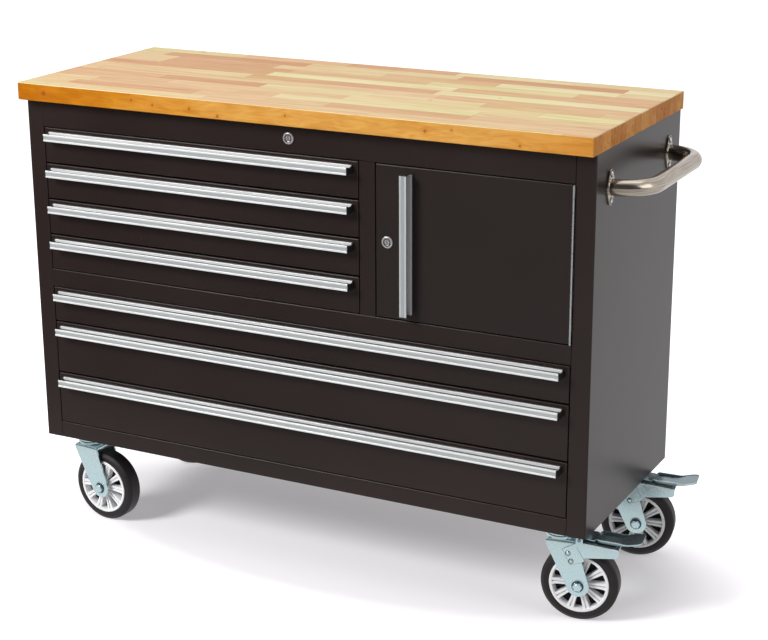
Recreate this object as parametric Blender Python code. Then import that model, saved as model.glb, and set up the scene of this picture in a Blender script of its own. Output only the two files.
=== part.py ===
"""Rolling tool bench: a steel drawer cabinet under a wooden worktop, on four swivel casters.

Each sub-part is one named object. All lengths are in metres and all angles in degrees.
X runs along the bench, -Y is its front and +Z is up. The floor is at Z = 0.
"""

import math

import bmesh
import bpy
from mathutils import Matrix, Vector

# Fits shared by every piece
SEAT = 0.0003
OVERRUN = 0.004
SHARP_ANGLE = 35
PIN_SIDES = 12
BOLT_SIDES = 6

# Worktop
WORKTOP_THICKNESS = 0.035
WORKTOP_SIDE_OVERHANG = 0.0025
WORKTOP_FRONT_OVERHANG = 0.0245
WORKTOP_BACK_OVERHANG = 0.006
WORKTOP_EDGE_ROUND = 0.002

# Cabinet body, from folded sheet
CABINET_WIDTH = 1.215
CABINET_DEPTH = 0.453
SHEET = 0.0015
PANEL_RECESS = 0.0004
STILE_WIDTH = 0.038
FRAME_RETURN = 0.020
TOP_RAIL_HEIGHT = 0.055
MID_RAIL_HEIGHT = 0.037
BOTTOM_RAIL_HEIGHT = 0.034
CENTRE_STILE_WIDTH = 0.033
BANK_WIDTH = 0.7135
NARROW_ROWS = 4
NARROW_ROW_HEIGHT = 0.074
WIDE_ROW_HEIGHTS = (0.0750, 0.1115, 0.1115)

# Drawers and their slides
FRONT_GAP = 0.0015
DRAWER_SHEET = 0.0012
DRAWER_FRONT_DEPTH = 0.014
DRAWER_DEPTH = 0.410
DRAWER_TOP_DROP = 0.012
DRAWER_FLOOR_RISE = 0.006
RACK_SETBACK = 0.0015
RACK_FLANGE = 0.020
SLIDE_SPACE = 0.0127
SLIDE_HEIGHT = 0.020
SLIDE_LIP = 0.011
SLIDE_SHEET = 0.0012
RUNNER_SIDE_GAP = 0.0007
RUNNER_LENGTH = 0.385

# Aluminium pulls
PULL_PROJECTION = 0.023
PULL_LIP_HEIGHT = 0.0145
PULL_FLANGE_HEIGHT = 0.0155
PULL_FLANGE_THICKNESS = 0.0045
PULL_WALL = 0.002
PULL_GROOVE_DEPTH = 0.0006
PULL_GROOVE_MARGIN = 0.003
PULL_TOP_DROP = 0.008
PULL_END_MARGIN = 0.013
DOOR_PULL_INSET = 0.0595

# Door and its piano hinge
DOOR_DEPTH = 0.015
HINGE_GAP = 0.004
HINGE_KNUCKLE_RADIUS = 0.0025
HINGE_PIN_RADIUS = 0.00105
HINGE_LEAF_THICKNESS = 0.001
HINGE_LEAF_DEPTH = 0.012
HINGE_KNUCKLES = 12
HINGE_SIDES = 10

# Cam locks
LOCK_HEAD_RADIUS = 0.0115
LOCK_HEAD_HEIGHT = 0.003
LOCK_HEAD_BEVEL = 0.001
LOCK_BODY_RADIUS = 0.0088
LOCK_BODY_LENGTH = 0.0215
LOCK_BORE_RADIUS = 0.006
LOCK_SIDES = 20
LOCK_PLUG_SINK = 0.0006
LOCK_KEYWAY_WIDTH = 0.0014
LOCK_KEYWAY_HEIGHT = 0.0076
LOCK_KEYWAY_DEPTH = 0.006
LOCK_CAM_WIDTH = 0.010
LOCK_CAM_REACH = 0.020
LOCK_CAM_THICKNESS = 0.002
RAIL_LOCK_X = -0.0035
RAIL_LOCK_DROP = 0.027
DOOR_LOCK_INSET = 0.0242

# Push handle on the right side
HANDLE_REACH = 0.083
HANDLE_TUBE_RADIUS = 0.0152
HANDLE_LEG_SPACING = 0.317
HANDLE_FRONT_INSET = 0.0675
HANDLE_DROP = 0.0705
HANDLE_BEND_RADIUS = 0.062
HANDLE_BEND_STEPS = 8
HANDLE_SIDES = 14
HANDLE_PLATE_THICKNESS = 0.003
HANDLE_PLATE_RADIUS = 0.0190
HANDLE_LOBE_RADIUS = 0.0085
HANDLE_LOBE_OFFSET = 0.0245
HANDLE_LOBE_STEPS = 6

# Casters
CASTER_HEIGHT = 0.190
CASTER_SIDE_INSET = 0.070
CASTER_FRONT_INSET = 0.059
CASTER_BACK_INSET = 0.073
CASTER_PLATE_LENGTH = 0.105
CASTER_PLATE_WIDTH = 0.085
CASTER_PLATE_THICKNESS = 0.004
CASTER_TRAIL = 0.040
RACE_RADIUS = 0.028
RACE_BOSS_RADIUS = 0.022
RACE_BOSS_HEIGHT = 0.010
RACE_SIDES = 24
KINGPIN_RADIUS = 0.006
KINGPIN_NUT_RADIUS = 0.0105
KINGPIN_NUT_HEIGHT = 0.0045
FORK_CROWN_THICKNESS = 0.0045
FORK_RACE_HEIGHT = 0.0095
FORK_ARM_THICKNESS = 0.0035
FORK_ARM_GAP = 0.006
FORK_CROWN_BACK = 0.028
FORK_CROWN_FRONT = 0.033
FORK_END_RADIUS = 0.021
FORK_END_STEPS = 8
AXLE_RADIUS = 0.006
AXLE_HEAD_RADIUS = 0.0095
AXLE_HEAD_HEIGHT = 0.006

# Wheels
WHEEL_RADIUS = 0.075
WHEEL_SIDES = 24
TYRE_WIDTH = 0.038
TYRE_SHOULDER = 0.006
RIM_RADIUS = 0.0575
RIM_RING_DEPTH = 0.006
RIM_RING_WIDTH = 0.0385
HUB_RADIUS = 0.014
HUB_WIDTH = 0.046
WEB_THICKNESS = 0.005
SPOKE_COUNT = 10
SPOKE_WIDTH = 0.008
SPOKE_DEPTH = 0.031

# Total-lock brake of the right-hand casters
BRAKE_SHEET = 0.002
BRAKE_REACH = 0.115
BRAKE_SKIRT_START = 0.0520
BRAKE_SKIRT_START_HEIGHT = 0.1352
BRAKE_SKIRT_END_HEIGHT = 0.1423
BRAKE_TOP_START = 0.1644
BRAKE_TOP_END = 0.1576
BRAKE_COVER_START = 0.0365
BRAKE_LIP = 0.001
# Corners of the tab riveted on the fork: how far along the trail, and how high
BRAKE_TAB_CORNERS = ((0.0097, 0.1485), (0.0243, 0.1183), (0.0504, 0.1270))
PEDAL_PIVOT_REACH = 0.041
PEDAL_PIVOT_HEIGHT = 0.1695
PEDAL_PIN_RADIUS = 0.003
EAR_RADIUS = 0.0068
EAR_STEPS = 8
PEDAL_THICKNESS = 0.0025
PEDAL_REACH = 0.157
PEDAL_WIDTH = 0.054
PEDAL_RISE = 0.010
# Along the pedal: share of its length, share of its width, share of its rise
PEDAL_STATION_SHARES = (
    (0.00, 0.80, 0.00),
    (0.30, 0.82, -0.25),
    (0.55, 0.82, -0.40),
    (0.65, 0.84, -0.36),
    (0.76, 0.96, -0.14),
    (0.87, 1.00, 0.14),
    (0.95, 0.94, 0.32),
    (1.00, 0.72, 0.42),
)

# The casters as they stand: side, end, how far each one trails round, and whether it brakes
CASTERS = (
    ("front_left", -1, -1, -5.0, False),
    ("front_right", 1, -1, 9.0, True),
    ("rear_left", -1, 1, 35.0, False),
    ("rear_right", 1, 1, 10.0, True),
)

# Heights and edges that follow from the sizes above
BODY_BOTTOM = CASTER_HEIGHT + SEAT
WIDE_HEIGHT = sum(WIDE_ROW_HEIGHTS)
BANK_HEIGHT = NARROW_ROWS * NARROW_ROW_HEIGHT
WIDE_BOTTOM = BODY_BOTTOM + BOTTOM_RAIL_HEIGHT
WIDE_TOP = WIDE_BOTTOM + WIDE_HEIGHT
BANK_BOTTOM = WIDE_TOP + MID_RAIL_HEIGHT
BANK_TOP = BANK_BOTTOM + BANK_HEIGHT
BODY_TOP = BANK_TOP + TOP_RAIL_HEIGHT
WORKTOP_DEPTH = CABINET_DEPTH + WORKTOP_FRONT_OVERHANG + WORKTOP_BACK_OVERHANG
HALF_WIDTH = CABINET_WIDTH / 2
FRONT = -WORKTOP_DEPTH / 2 + WORKTOP_FRONT_OVERHANG
BACK = FRONT + CABINET_DEPTH
INNER_BACK = BACK - SHEET
RETURN_END = FRONT + FRAME_RETURN
OPENING_LEFT = -HALF_WIDTH + STILE_WIDTH
OPENING_RIGHT = HALF_WIDTH - STILE_WIDTH
BANK_RIGHT = OPENING_LEFT + BANK_WIDTH
DOOR_OPENING_LEFT = BANK_RIGHT + CENTRE_STILE_WIDTH
FLOOR_TOP = BODY_BOTTOM + PANEL_RECESS + SHEET
CEILING_BOTTOM = BODY_TOP - PANEL_RECESS - SHEET
DECK_TOP = BANK_BOTTOM
DECK_BOTTOM = DECK_TOP - SHEET
BOX_SIDE_GAP = SLIDE_SPACE - RACK_SETBACK
PLATE_BOTTOM = CASTER_HEIGHT - CASTER_PLATE_THICKNESS
BOSS_BOTTOM = PLATE_BOTTOM - RACE_BOSS_HEIGHT
RACE_TOP = BOSS_BOTTOM - SEAT
CROWN_TOP = RACE_TOP - FORK_RACE_HEIGHT
CROWN_BOTTOM = CROWN_TOP - FORK_CROWN_THICKNESS
FORK_INNER = TYRE_WIDTH / 2 + FORK_ARM_GAP
FORK_OUTER = FORK_INNER + FORK_ARM_THICKNESS
BRAKE_INNER = FORK_OUTER + SEAT
BRAKE_OUTER = BRAKE_INNER + BRAKE_SHEET


def right_reach():
    """How far the handle or a pedal stands out beyond the right wall."""
    reach = HANDLE_REACH
    length = PEDAL_REACH - PEDAL_PIVOT_REACH
    for _, side, _, turn, has_brake in CASTERS:
        if not has_brake:
            continue
        lean = math.radians(turn)
        for length_share, width_share, _ in PEDAL_STATION_SHARES:
            along = PEDAL_PIVOT_REACH + length * length_share
            across = PEDAL_WIDTH * width_share / 2
            corner = along * math.cos(lean) + across * abs(math.sin(lean))
            reach = max(reach, side * (corner - CASTER_SIDE_INSET))
    return reach


def clear_scene():
    """Remove every object that is already there."""
    for item in list(bpy.data.objects):
        bpy.data.objects.remove(item, do_unlink=True)


def surface(name, colour, metallic, roughness):
    """A plain finish with the sub-part's own colour."""
    finish = bpy.data.materials.new(name)
    finish.use_nodes = True
    shader = finish.node_tree.nodes["Principled BSDF"]
    shader.inputs["Base Color"].default_value = (*colour, 1.0)
    shader.inputs["Metallic"].default_value = metallic
    shader.inputs["Roughness"].default_value = roughness
    return finish


def black_enamel(name):
    return surface(name, (0.028, 0.026, 0.026), 0.2, 0.42)


def beech(name):
    return surface(name, (0.72, 0.46, 0.20), 0.0, 0.45)


def zinc(name):
    return surface(name, (0.62, 0.68, 0.70), 0.9, 0.35)


def anodised(name):
    return surface(name, (0.72, 0.73, 0.74), 0.9, 0.30)


def stainless(name):
    return surface(name, (0.55, 0.53, 0.50), 1.0, 0.30)


def chrome(name):
    return surface(name, (0.75, 0.75, 0.76), 1.0, 0.12)


def silver_rim(name):
    return surface(name, (0.80, 0.80, 0.80), 0.6, 0.30)


def rubber(name):
    return surface(name, (0.022, 0.021, 0.021), 0.0, 0.62)


def anchor(name, parent, location=(0, 0, 0), turn=0.0):
    """An empty that carries one body at its joint."""
    empty = bpy.data.objects.new(name, None)
    empty.parent = parent
    empty.location = location
    empty.rotation_euler = (0, 0, math.radians(turn))
    bpy.context.scene.collection.objects.link(empty)
    return empty


def place(name, mesh, parent, finish=None, location=(0, 0, 0), smooth=False):
    """Link a mesh as a named object under its body's empty."""
    item = bpy.data.objects.new(name, mesh)
    item.parent = parent
    item.location = location
    if finish:
        mesh.materials.append(finish(name + "_finish"))
    if smooth:
        mesh.shade_smooth()
        mesh.set_sharp_from_angle(angle=math.radians(SHARP_ANGLE))
    bpy.context.scene.collection.objects.link(item)
    return item


def combine(target, mesh, operation, label):
    """Add or cut away a guide shape that stands in the target's own space."""
    guide = place(target.name + "_" + label, mesh, target.parent, location=target.location)
    guide.hide_render = True
    guide.display_type = "WIRE"
    step = target.modifiers.new(label, "BOOLEAN")
    step.operation = operation
    step.solver = "EXACT"
    step.object = guide


def cut(target, mesh, label):
    combine(target, mesh, "DIFFERENCE", label)


def weld(target, mesh, label):
    combine(target, mesh, "UNION", label)


def finished(shape):
    """Turn a bmesh into a mesh with its faces pointing out."""
    bmesh.ops.recalc_face_normals(shape, faces=shape.faces)
    mesh = bpy.data.meshes.new("shape")
    shape.to_mesh(mesh)
    shape.free()
    return mesh


def boxes(*corner_pairs):
    """Closed boxes, each from its lowest to its highest corner."""
    shape = bmesh.new()
    for low, high in corner_pairs:
        low = Vector(low)
        size = Vector(high) - low
        matrix = Matrix.Translation(low + size / 2) @ Matrix.Diagonal((*size, 1.0))
        bmesh.ops.create_cube(shape, size=1.0, matrix=matrix)
    return finished(shape)


def prism(outline, start, end, along):
    """Extrude a closed outline along one axis.

    The outline is in the two other axes, in X, Y, Z order.
    """
    lead = "xyz".index(along)
    others = [axis for axis in range(3) if axis != lead]

    def corner(point, height):
        spot = Vector((0, 0, 0))
        spot[others[0]], spot[others[1]] = point
        spot[lead] = height
        return spot

    shape = bmesh.new()
    face = shape.faces.new([shape.verts.new(corner(point, start)) for point in outline])
    grown = bmesh.ops.extrude_face_region(shape, geom=[face])
    lifted = [item for item in grown["geom"] if isinstance(item, bmesh.types.BMVert)]
    push = Vector((0, 0, 0))
    push[lead] = end - start
    bmesh.ops.translate(shape, verts=lifted, vec=push)
    return finished(shape)


def turned(profile, sides, along, centre=(0, 0, 0), phase=0.0, closed=True):
    """Turn (radius, height) points about one axis.

    A closed profile gives a ring with a bore. An open one is capped at both ends.
    """
    lead = "xyz".index(along)
    first, second = [axis for axis in range(3) if axis != lead]
    shape = bmesh.new()
    rings = []
    for radius, height in profile:
        ring = []
        for step in range(sides):
            angle = 2 * math.pi * (step + phase) / sides
            spot = Vector(centre)
            spot[first] += radius * math.cos(angle)
            spot[second] += radius * math.sin(angle)
            spot[lead] += height
            ring.append(shape.verts.new(spot))
        rings.append(ring)
    pairs = list(zip(rings, rings[1:]))
    if closed:
        pairs.append((rings[-1], rings[0]))
    else:
        shape.faces.new(rings[0])
        shape.faces.new(rings[-1])
    for lower, upper in pairs:
        for step in range(sides):
            after = (step + 1) % sides
            shape.faces.new((lower[step], lower[after], upper[after], upper[step]))
    return finished(shape)


def disc(radius, start, end, sides, along, centre=(0, 0, 0), phase=0.0):
    """A plain round bar."""
    return turned([(radius, start), (radius, end)], sides, along, centre, phase, closed=False)


def arc(centre, radius, start, end, steps):
    """Points on a round stretch, with the angles in degrees."""
    points = []
    for step in range(steps + 1):
        angle = math.radians(start + (end - start) * step / steps)
        points.append((centre[0] + radius * math.cos(angle), centre[1] + radius * math.sin(angle)))
    return points


def merged(*meshes):
    """Put several closed shapes into one guide mesh."""
    shape = bmesh.new()
    for mesh in meshes:
        shape.from_mesh(mesh)
        bpy.data.meshes.remove(mesh)
    mesh = bpy.data.meshes.new("shape")
    shape.to_mesh(mesh)
    shape.free()
    return mesh


# Cabinet body


def build_shell(body):
    """Side walls, back and front stiles folded from one sheet, with floor and ceiling."""
    right = [
        (HALF_WIDTH, BACK),
        (HALF_WIDTH, FRONT),
        (OPENING_RIGHT, FRONT),
        (OPENING_RIGHT, RETURN_END),
        (OPENING_RIGHT + SHEET, RETURN_END),
        (OPENING_RIGHT + SHEET, FRONT + SHEET),
        (HALF_WIDTH - SHEET, FRONT + SHEET),
        (HALF_WIDTH - SHEET, INNER_BACK),
    ]
    left = [(-x, y) for x, y in reversed(right)]
    mesh = prism(right + left, BODY_BOTTOM, BODY_TOP, "z")
    shell = place("cabinet_shell", mesh, body, black_enamel)
    edge = HALF_WIDTH - SHEET / 2
    front = FRONT + SHEET + SEAT
    back = BACK - SHEET / 2
    floor = ((-edge, front, BODY_BOTTOM + PANEL_RECESS), (edge, back, FLOOR_TOP))
    ceiling = ((-edge, front, CEILING_BOTTOM), (edge, back, BODY_TOP - PANEL_RECESS))
    weld(shell, boxes(floor, ceiling), "panels")


def channel_outline(start, end, low_edge, high_edge):
    """A channel open to the back, as (depth, width) points.

    low_edge and high_edge are where its two returns stand.
    """
    skin = FRONT + SHEET
    return [
        (FRONT, start),
        (skin, start),
        (skin, low_edge),
        (RETURN_END, low_edge),
        (RETURN_END, low_edge + SHEET),
        (skin, low_edge + SHEET),
        (skin, high_edge - SHEET),
        (RETURN_END, high_edge - SHEET),
        (RETURN_END, high_edge),
        (skin, high_edge),
        (skin, end),
        (FRONT, end),
    ]


def without_repeats(points):
    """Drop a point that falls on the one before it."""
    kept = []
    for point in points:
        if not kept or (Vector(point) - Vector(kept[-1])).length > SEAT:
            kept.append(point)
    return kept


def build_rails(body):
    """The three rails between the stiles and the stile between drawers and door."""
    left = OPENING_LEFT + SEAT
    right = OPENING_RIGHT - SEAT
    rails = (
        ("bottom_rail", BODY_BOTTOM, WIDE_BOTTOM, FLOOR_TOP + SEAT, WIDE_BOTTOM),
        ("mid_rail", WIDE_TOP, BANK_BOTTOM, WIDE_TOP, BANK_BOTTOM),
        ("top_rail", BANK_TOP, BODY_TOP, BANK_TOP, CEILING_BOTTOM - SEAT),
    )
    for name, start, end, low_edge, high_edge in rails:
        outline = without_repeats(channel_outline(start, end, low_edge, high_edge))
        rail = place(name, prism(outline, left, right, "x"), body, black_enamel)
        if name == "top_rail":
            hole = disc(
                LOCK_BODY_RADIUS + SEAT, FRONT - OVERRUN, FRONT + SHEET + OVERRUN, LOCK_SIDES,
                "y", (RAIL_LOCK_X, 0, BODY_TOP - RAIL_LOCK_DROP),
            )
            cut(rail, hole, "lock_hole")
    outline = channel_outline(BANK_RIGHT, DOOR_OPENING_LEFT, BANK_RIGHT, DOOR_OPENING_LEFT)
    plan = [(x, y) for y, x in without_repeats(outline)]
    post = prism(plan, BANK_BOTTOM + SEAT, BANK_TOP - SEAT, "z")
    place("centre_stile", post, body, black_enamel)


def build_deck(body):
    """The sheet between the wide drawers and what stands above them."""
    edge = HALF_WIDTH - SHEET - SEAT
    low = (-edge, RETURN_END + SEAT, DECK_BOTTOM)
    high = (edge, INNER_BACK - SEAT, DECK_TOP)
    place("deck_panel", boxes((low, high)), body, black_enamel)


def row_spans():
    """Lowest and highest line of each drawer row, from the top row down."""
    spans = []
    line = BANK_TOP
    for _ in range(NARROW_ROWS):
        spans.append((line - NARROW_ROW_HEIGHT, line, True))
        line -= NARROW_ROW_HEIGHT
    line = WIDE_TOP
    for height in WIDE_ROW_HEIGHTS:
        spans.append((line - height, line, False))
        line -= height
    return spans


def box_span(low, high):
    """Bottom and top of a drawer's box inside its row."""
    return low + FRONT_GAP + DRAWER_FLOOR_RISE, high - FRONT_GAP - DRAWER_TOP_DROP


def slide_rack(name, body, wall, face, low, high, rows):
    """A folded upright with one slide channel for each drawer row.

    It stands from the sheet at x = wall to its face at x = face.
    """
    side = 1 if face > wall else -1
    lip = face + side * SLIDE_LIP
    inner = face - side * SHEET
    outline = [(wall, low), (face, low)]
    for row_low, row_high in sorted(rows):
        bottom, top = box_span(row_low, row_high)
        middle = (bottom + top) / 2
        lower = middle - SLIDE_HEIGHT / 2
        upper = middle + SLIDE_HEIGHT / 2
        outline += [
            (face, lower - SLIDE_SHEET),
            (lip, lower - SLIDE_SHEET),
            (lip, lower),
            (face, lower),
            (face, upper),
            (lip, upper),
            (lip, upper + SLIDE_SHEET),
            (face, upper + SLIDE_SHEET),
        ]
    outline += [
        (face, high),
        (wall, high),
        (wall, high - SHEET),
        (inner, high - SHEET),
        (inner, low + SHEET),
        (wall, low + SHEET),
    ]
    mesh = prism(outline, RETURN_END + SEAT, INNER_BACK - SEAT, "y")
    place(name, mesh, body, zinc)


def build_racks(body):
    """The four uprights that carry the slides."""
    narrow = [(low, high) for low, high, is_narrow in row_spans() if is_narrow]
    wide = [(low, high) for low, high, is_narrow in row_spans() if not is_narrow]
    left_wall = -HALF_WIDTH + SHEET + SEAT
    right_wall = HALF_WIDTH - SHEET - SEAT
    left_face = OPENING_LEFT - RACK_SETBACK
    right_face = OPENING_RIGHT + RACK_SETBACK
    divider_face = BANK_RIGHT + RACK_SETBACK
    upper = (DECK_TOP + SEAT, CEILING_BOTTOM - SEAT)
    lower = (FLOOR_TOP + SEAT, DECK_BOTTOM - SEAT)
    slide_rack("upper_left_rack", body, left_wall, left_face, *upper, narrow)
    slide_rack("divider_panel", body, divider_face + RACK_FLANGE, divider_face, *upper, narrow)
    slide_rack("lower_left_rack", body, left_wall, left_face, *lower, wide)
    slide_rack("lower_right_rack", body, right_wall, right_face, *lower, wide)


def build_worktop(body):
    """The glued wooden top."""
    edge = HALF_WIDTH + WORKTOP_SIDE_OVERHANG
    low = (-edge, -WORKTOP_DEPTH / 2, BODY_TOP + SEAT)
    high = (edge, WORKTOP_DEPTH / 2, BODY_TOP + SEAT + WORKTOP_THICKNESS)
    worktop = place("worktop", boxes((low, high)), body, beech)
    rounding = worktop.modifiers.new("edge_round", "BEVEL")
    rounding.width = WORKTOP_EDGE_ROUND
    rounding.segments = 2
    rounding.limit_method = "ANGLE"


# Drawers, door and pulls


def pull_outline():
    """The pull's section as (distance out from the front, height) points."""
    out = PULL_PROJECTION
    groove = out - PULL_GROOVE_DEPTH
    low = PULL_GROOVE_MARGIN
    high = PULL_LIP_HEIGHT - PULL_GROOVE_MARGIN
    slope = PULL_GROOVE_DEPTH
    return [
        (SEAT, 0),
        (out, 0),
        (out, low),
        (groove, low + slope),
        (groove, high - slope),
        (out, high),
        (out, PULL_LIP_HEIGHT),
        (out - PULL_WALL, PULL_LIP_HEIGHT),
        (out - PULL_WALL, PULL_WALL),
        (PULL_FLANGE_THICKNESS, PULL_WALL),
        (PULL_FLANGE_THICKNESS, PULL_FLANGE_HEIGHT),
        (SEAT, PULL_FLANGE_HEIGHT),
    ]


def build_drawer(name, body, left, right, low, high):
    """One drawer with its folded front, its box and the two runners on the box."""
    front_width = right - left - 2 * FRONT_GAP
    front_height = high - low - 2 * FRONT_GAP
    half_front = front_width / 2
    origin = ((left + right) / 2, FRONT, low + FRONT_GAP)
    carrier = anchor(name + "_body", body, origin)
    drawer = place(
        name,
        boxes(((-half_front, 0, 0), (half_front, DRAWER_FRONT_DEPTH, front_height))),
        carrier, black_enamel,
    )
    wall = DRAWER_SHEET
    pocket = (
        (-half_front + wall, wall, wall),
        (half_front - wall, DRAWER_FRONT_DEPTH + OVERRUN, front_height - wall),
    )
    cut(drawer, boxes(pocket), "pocket")
    half_box = (right - left) / 2 - BOX_SIDE_GAP
    bottom, top = box_span(low, high)
    floor = bottom - low - FRONT_GAP
    rim = top - low - FRONT_GAP
    weld(drawer, boxes(((-half_box, wall / 2, floor), (half_box, DRAWER_DEPTH, rim))), "box")
    cavity = (
        (-half_box + wall, 2 * wall, floor + wall),
        (half_box - wall, DRAWER_DEPTH - wall, rim + OVERRUN),
    )
    cut(drawer, boxes(cavity), "cavity")
    middle = (floor + rim) / 2
    half_runner = SLIDE_HEIGHT / 2 - SEAT
    reach = half_box + BOX_SIDE_GAP - RUNNER_SIDE_GAP
    root = half_box - wall / 2
    start = DRAWER_DEPTH - SEAT - RUNNER_LENGTH
    end = DRAWER_DEPTH - SEAT
    low_z = middle - half_runner
    high_z = middle + half_runner
    runners = boxes(
        ((-reach, start, low_z), (-root, end, high_z)),
        ((root, start, low_z), (reach, end, high_z)),
    )
    weld(drawer, runners, "runners")
    half_pull = half_front - PULL_END_MARGIN
    base = front_height - PULL_TOP_DROP - PULL_FLANGE_HEIGHT
    outline = [(-out, base + height) for out, height in pull_outline()]
    mesh = prism(outline, -half_pull, half_pull, "x")
    place(name + "_pull", mesh, carrier, anodised)


def build_drawers(body):
    """Narrow drawers on the left and wide drawers below, numbered from the top."""
    for number, (low, high, is_narrow) in enumerate(row_spans(), start=1):
        right = BANK_RIGHT if is_narrow else OPENING_RIGHT
        build_drawer("drawer_%d" % number, body, OPENING_LEFT, right, low, high)


def hinge_leaf(name, parent, side, first, origin):
    """One leaf of the piano hinge with every second knuckle.

    side is 1 for the leaf on the frame and -1 for the leaf on the door.
    """
    length = BANK_HEIGHT - 2 * FRONT_GAP
    pitch = length / HINGE_KNUCKLES
    outer = HINGE_GAP / 2 - SEAT
    inner = outer - HINGE_LEAF_THICKNESS
    near, far = sorted((side * inner, side * outer))
    bore = HINGE_PIN_RADIUS + SEAT
    clear = HINGE_KNUCKLE_RADIUS + SEAT
    leaf = place(
        name,
        boxes(((near, clear, 0), (far, clear + HINGE_LEAF_DEPTH, length))),
        parent, zinc, origin,
    )
    tabs = []
    knuckles = []
    for number in range(first, HINGE_KNUCKLES, 2):
        low = number * pitch + SEAT
        high = (number + 1) * pitch - SEAT
        tabs.append(((near, bore, low + SEAT), (far, clear + SHEET, high - SEAT)))
        ring = [
            (bore, low), (HINGE_KNUCKLE_RADIUS, low), (HINGE_KNUCKLE_RADIUS, high), (bore, high),
        ]
        knuckles.append(turned(ring, HINGE_SIDES, "z"))
    weld(leaf, boxes(*tabs), "tabs")
    weld(leaf, merged(*knuckles), "knuckles")


def build_lock(name, frame, turning_body, centre):
    """A cam lock: its fixed barrel, and the plug that turns with the cam behind it."""
    height = LOCK_HEAD_HEIGHT
    barrel = [
        (LOCK_BORE_RADIUS, LOCK_BODY_LENGTH),
        (LOCK_BODY_RADIUS, LOCK_BODY_LENGTH),
        (LOCK_BODY_RADIUS, -SEAT),
        (LOCK_HEAD_RADIUS, -SEAT),
        (LOCK_HEAD_RADIUS, -height + LOCK_HEAD_BEVEL),
        (LOCK_HEAD_RADIUS - LOCK_HEAD_BEVEL, -height),
        (LOCK_BORE_RADIUS, -height),
    ]
    place(name + "_barrel", turned(barrel, LOCK_SIDES, "y"), frame, chrome, centre, smooth=True)
    face = -height + LOCK_PLUG_SINK
    cam_start = LOCK_BODY_LENGTH + SEAT
    cam_end = cam_start + LOCK_CAM_THICKNESS
    tail = cam_end + LOCK_CAM_THICKNESS
    plug_radius = LOCK_BORE_RADIUS - SEAT
    plug = place(
        name + "_plug", disc(plug_radius, face, tail, LOCK_SIDES, "y"), turning_body, chrome,
        smooth=True,
    )
    half_cam = LOCK_CAM_WIDTH / 2
    cam = ((-half_cam, cam_start, -LOCK_CAM_REACH), (half_cam, cam_end, plug_radius + SEAT))
    weld(plug, boxes(cam), "cam")
    half_slot = LOCK_KEYWAY_WIDTH / 2
    half_height = LOCK_KEYWAY_HEIGHT / 2
    keyway = (
        (-half_slot, face - OVERRUN, -half_height),
        (half_slot, face + LOCK_KEYWAY_DEPTH, half_height),
    )
    cut(plug, boxes(keyway), "keyway")


def build_door(body):
    """The door, its pull, its lock and the piano hinge on its right edge."""
    hinge_x = OPENING_RIGHT - HINGE_GAP / 2
    hinge_y = FRONT - HINGE_KNUCKLE_RADIUS - SEAT
    bottom = BANK_BOTTOM + FRONT_GAP
    height = BANK_HEIGHT - 2 * FRONT_GAP
    hinge = (hinge_x, hinge_y, bottom)
    carrier = anchor("door_body", body, hinge)
    face = FRONT - hinge_y
    left = DOOR_OPENING_LEFT + FRONT_GAP - hinge_x
    right = -HINGE_GAP / 2
    back = face + DOOR_DEPTH
    door = place("door", boxes(((left, face, 0), (right, back, height))), carrier, black_enamel)
    pocket = (
        (left + SHEET, face + SHEET, SHEET),
        (right - SHEET, back + OVERRUN, height - SHEET),
    )
    cut(door, boxes(pocket), "pocket")
    lock_centre = (left + DOOR_LOCK_INSET, face, height / 2)
    hole = disc(
        LOCK_BODY_RADIUS + SEAT, -OVERRUN, SHEET + OVERRUN, LOCK_SIDES, "y", lock_centre,
    )
    cut(door, hole, "lock_hole")
    plug_body = anchor("door_lock_body", carrier, lock_centre)
    build_lock("door_lock", carrier, plug_body, lock_centre)
    base = left + DOOR_PULL_INSET
    plan = [(base + across, face - out) for out, across in pull_outline()]
    pull = prism(plan, PULL_END_MARGIN, height - PULL_END_MARGIN, "z")
    place("door_pull", pull, carrier, anodised)
    hinge_leaf("hinge_frame_leaf", body, 1, 0, hinge)
    hinge_leaf("hinge_door_leaf", carrier, -1, 1, (0, 0, 0))
    pin = disc(HINGE_PIN_RADIUS, 0, height, HINGE_SIDES, "z")
    place("hinge_pin", pin, body, zinc, hinge, smooth=True)


def build_rail_lock(body):
    """The lock in the top rail that locks all the drawers."""
    centre = (RAIL_LOCK_X, FRONT, BODY_TOP - RAIL_LOCK_DROP)
    plug_body = anchor("rail_lock_body", body, centre)
    build_lock("rail_lock", body, plug_body, centre)


# Push handle


def handle_path():
    """Centre line of the bent tube in plan, from the front plate to the rear one."""
    start = HALF_WIDTH + SEAT + HANDLE_PLATE_THICKNESS / 2
    reach = HALF_WIDTH + HANDLE_REACH - HANDLE_TUBE_RADIUS
    front = FRONT + HANDLE_FRONT_INSET
    rear = front + HANDLE_LEG_SPACING
    bend = HANDLE_BEND_RADIUS
    path = [(start, front)]
    path += arc((reach - bend, front + bend), bend, -90, 0, HANDLE_BEND_STEPS)
    path += arc((reach - bend, rear - bend), bend, 0, 90, HANDLE_BEND_STEPS)
    path.append((start, rear))
    return path


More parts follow.
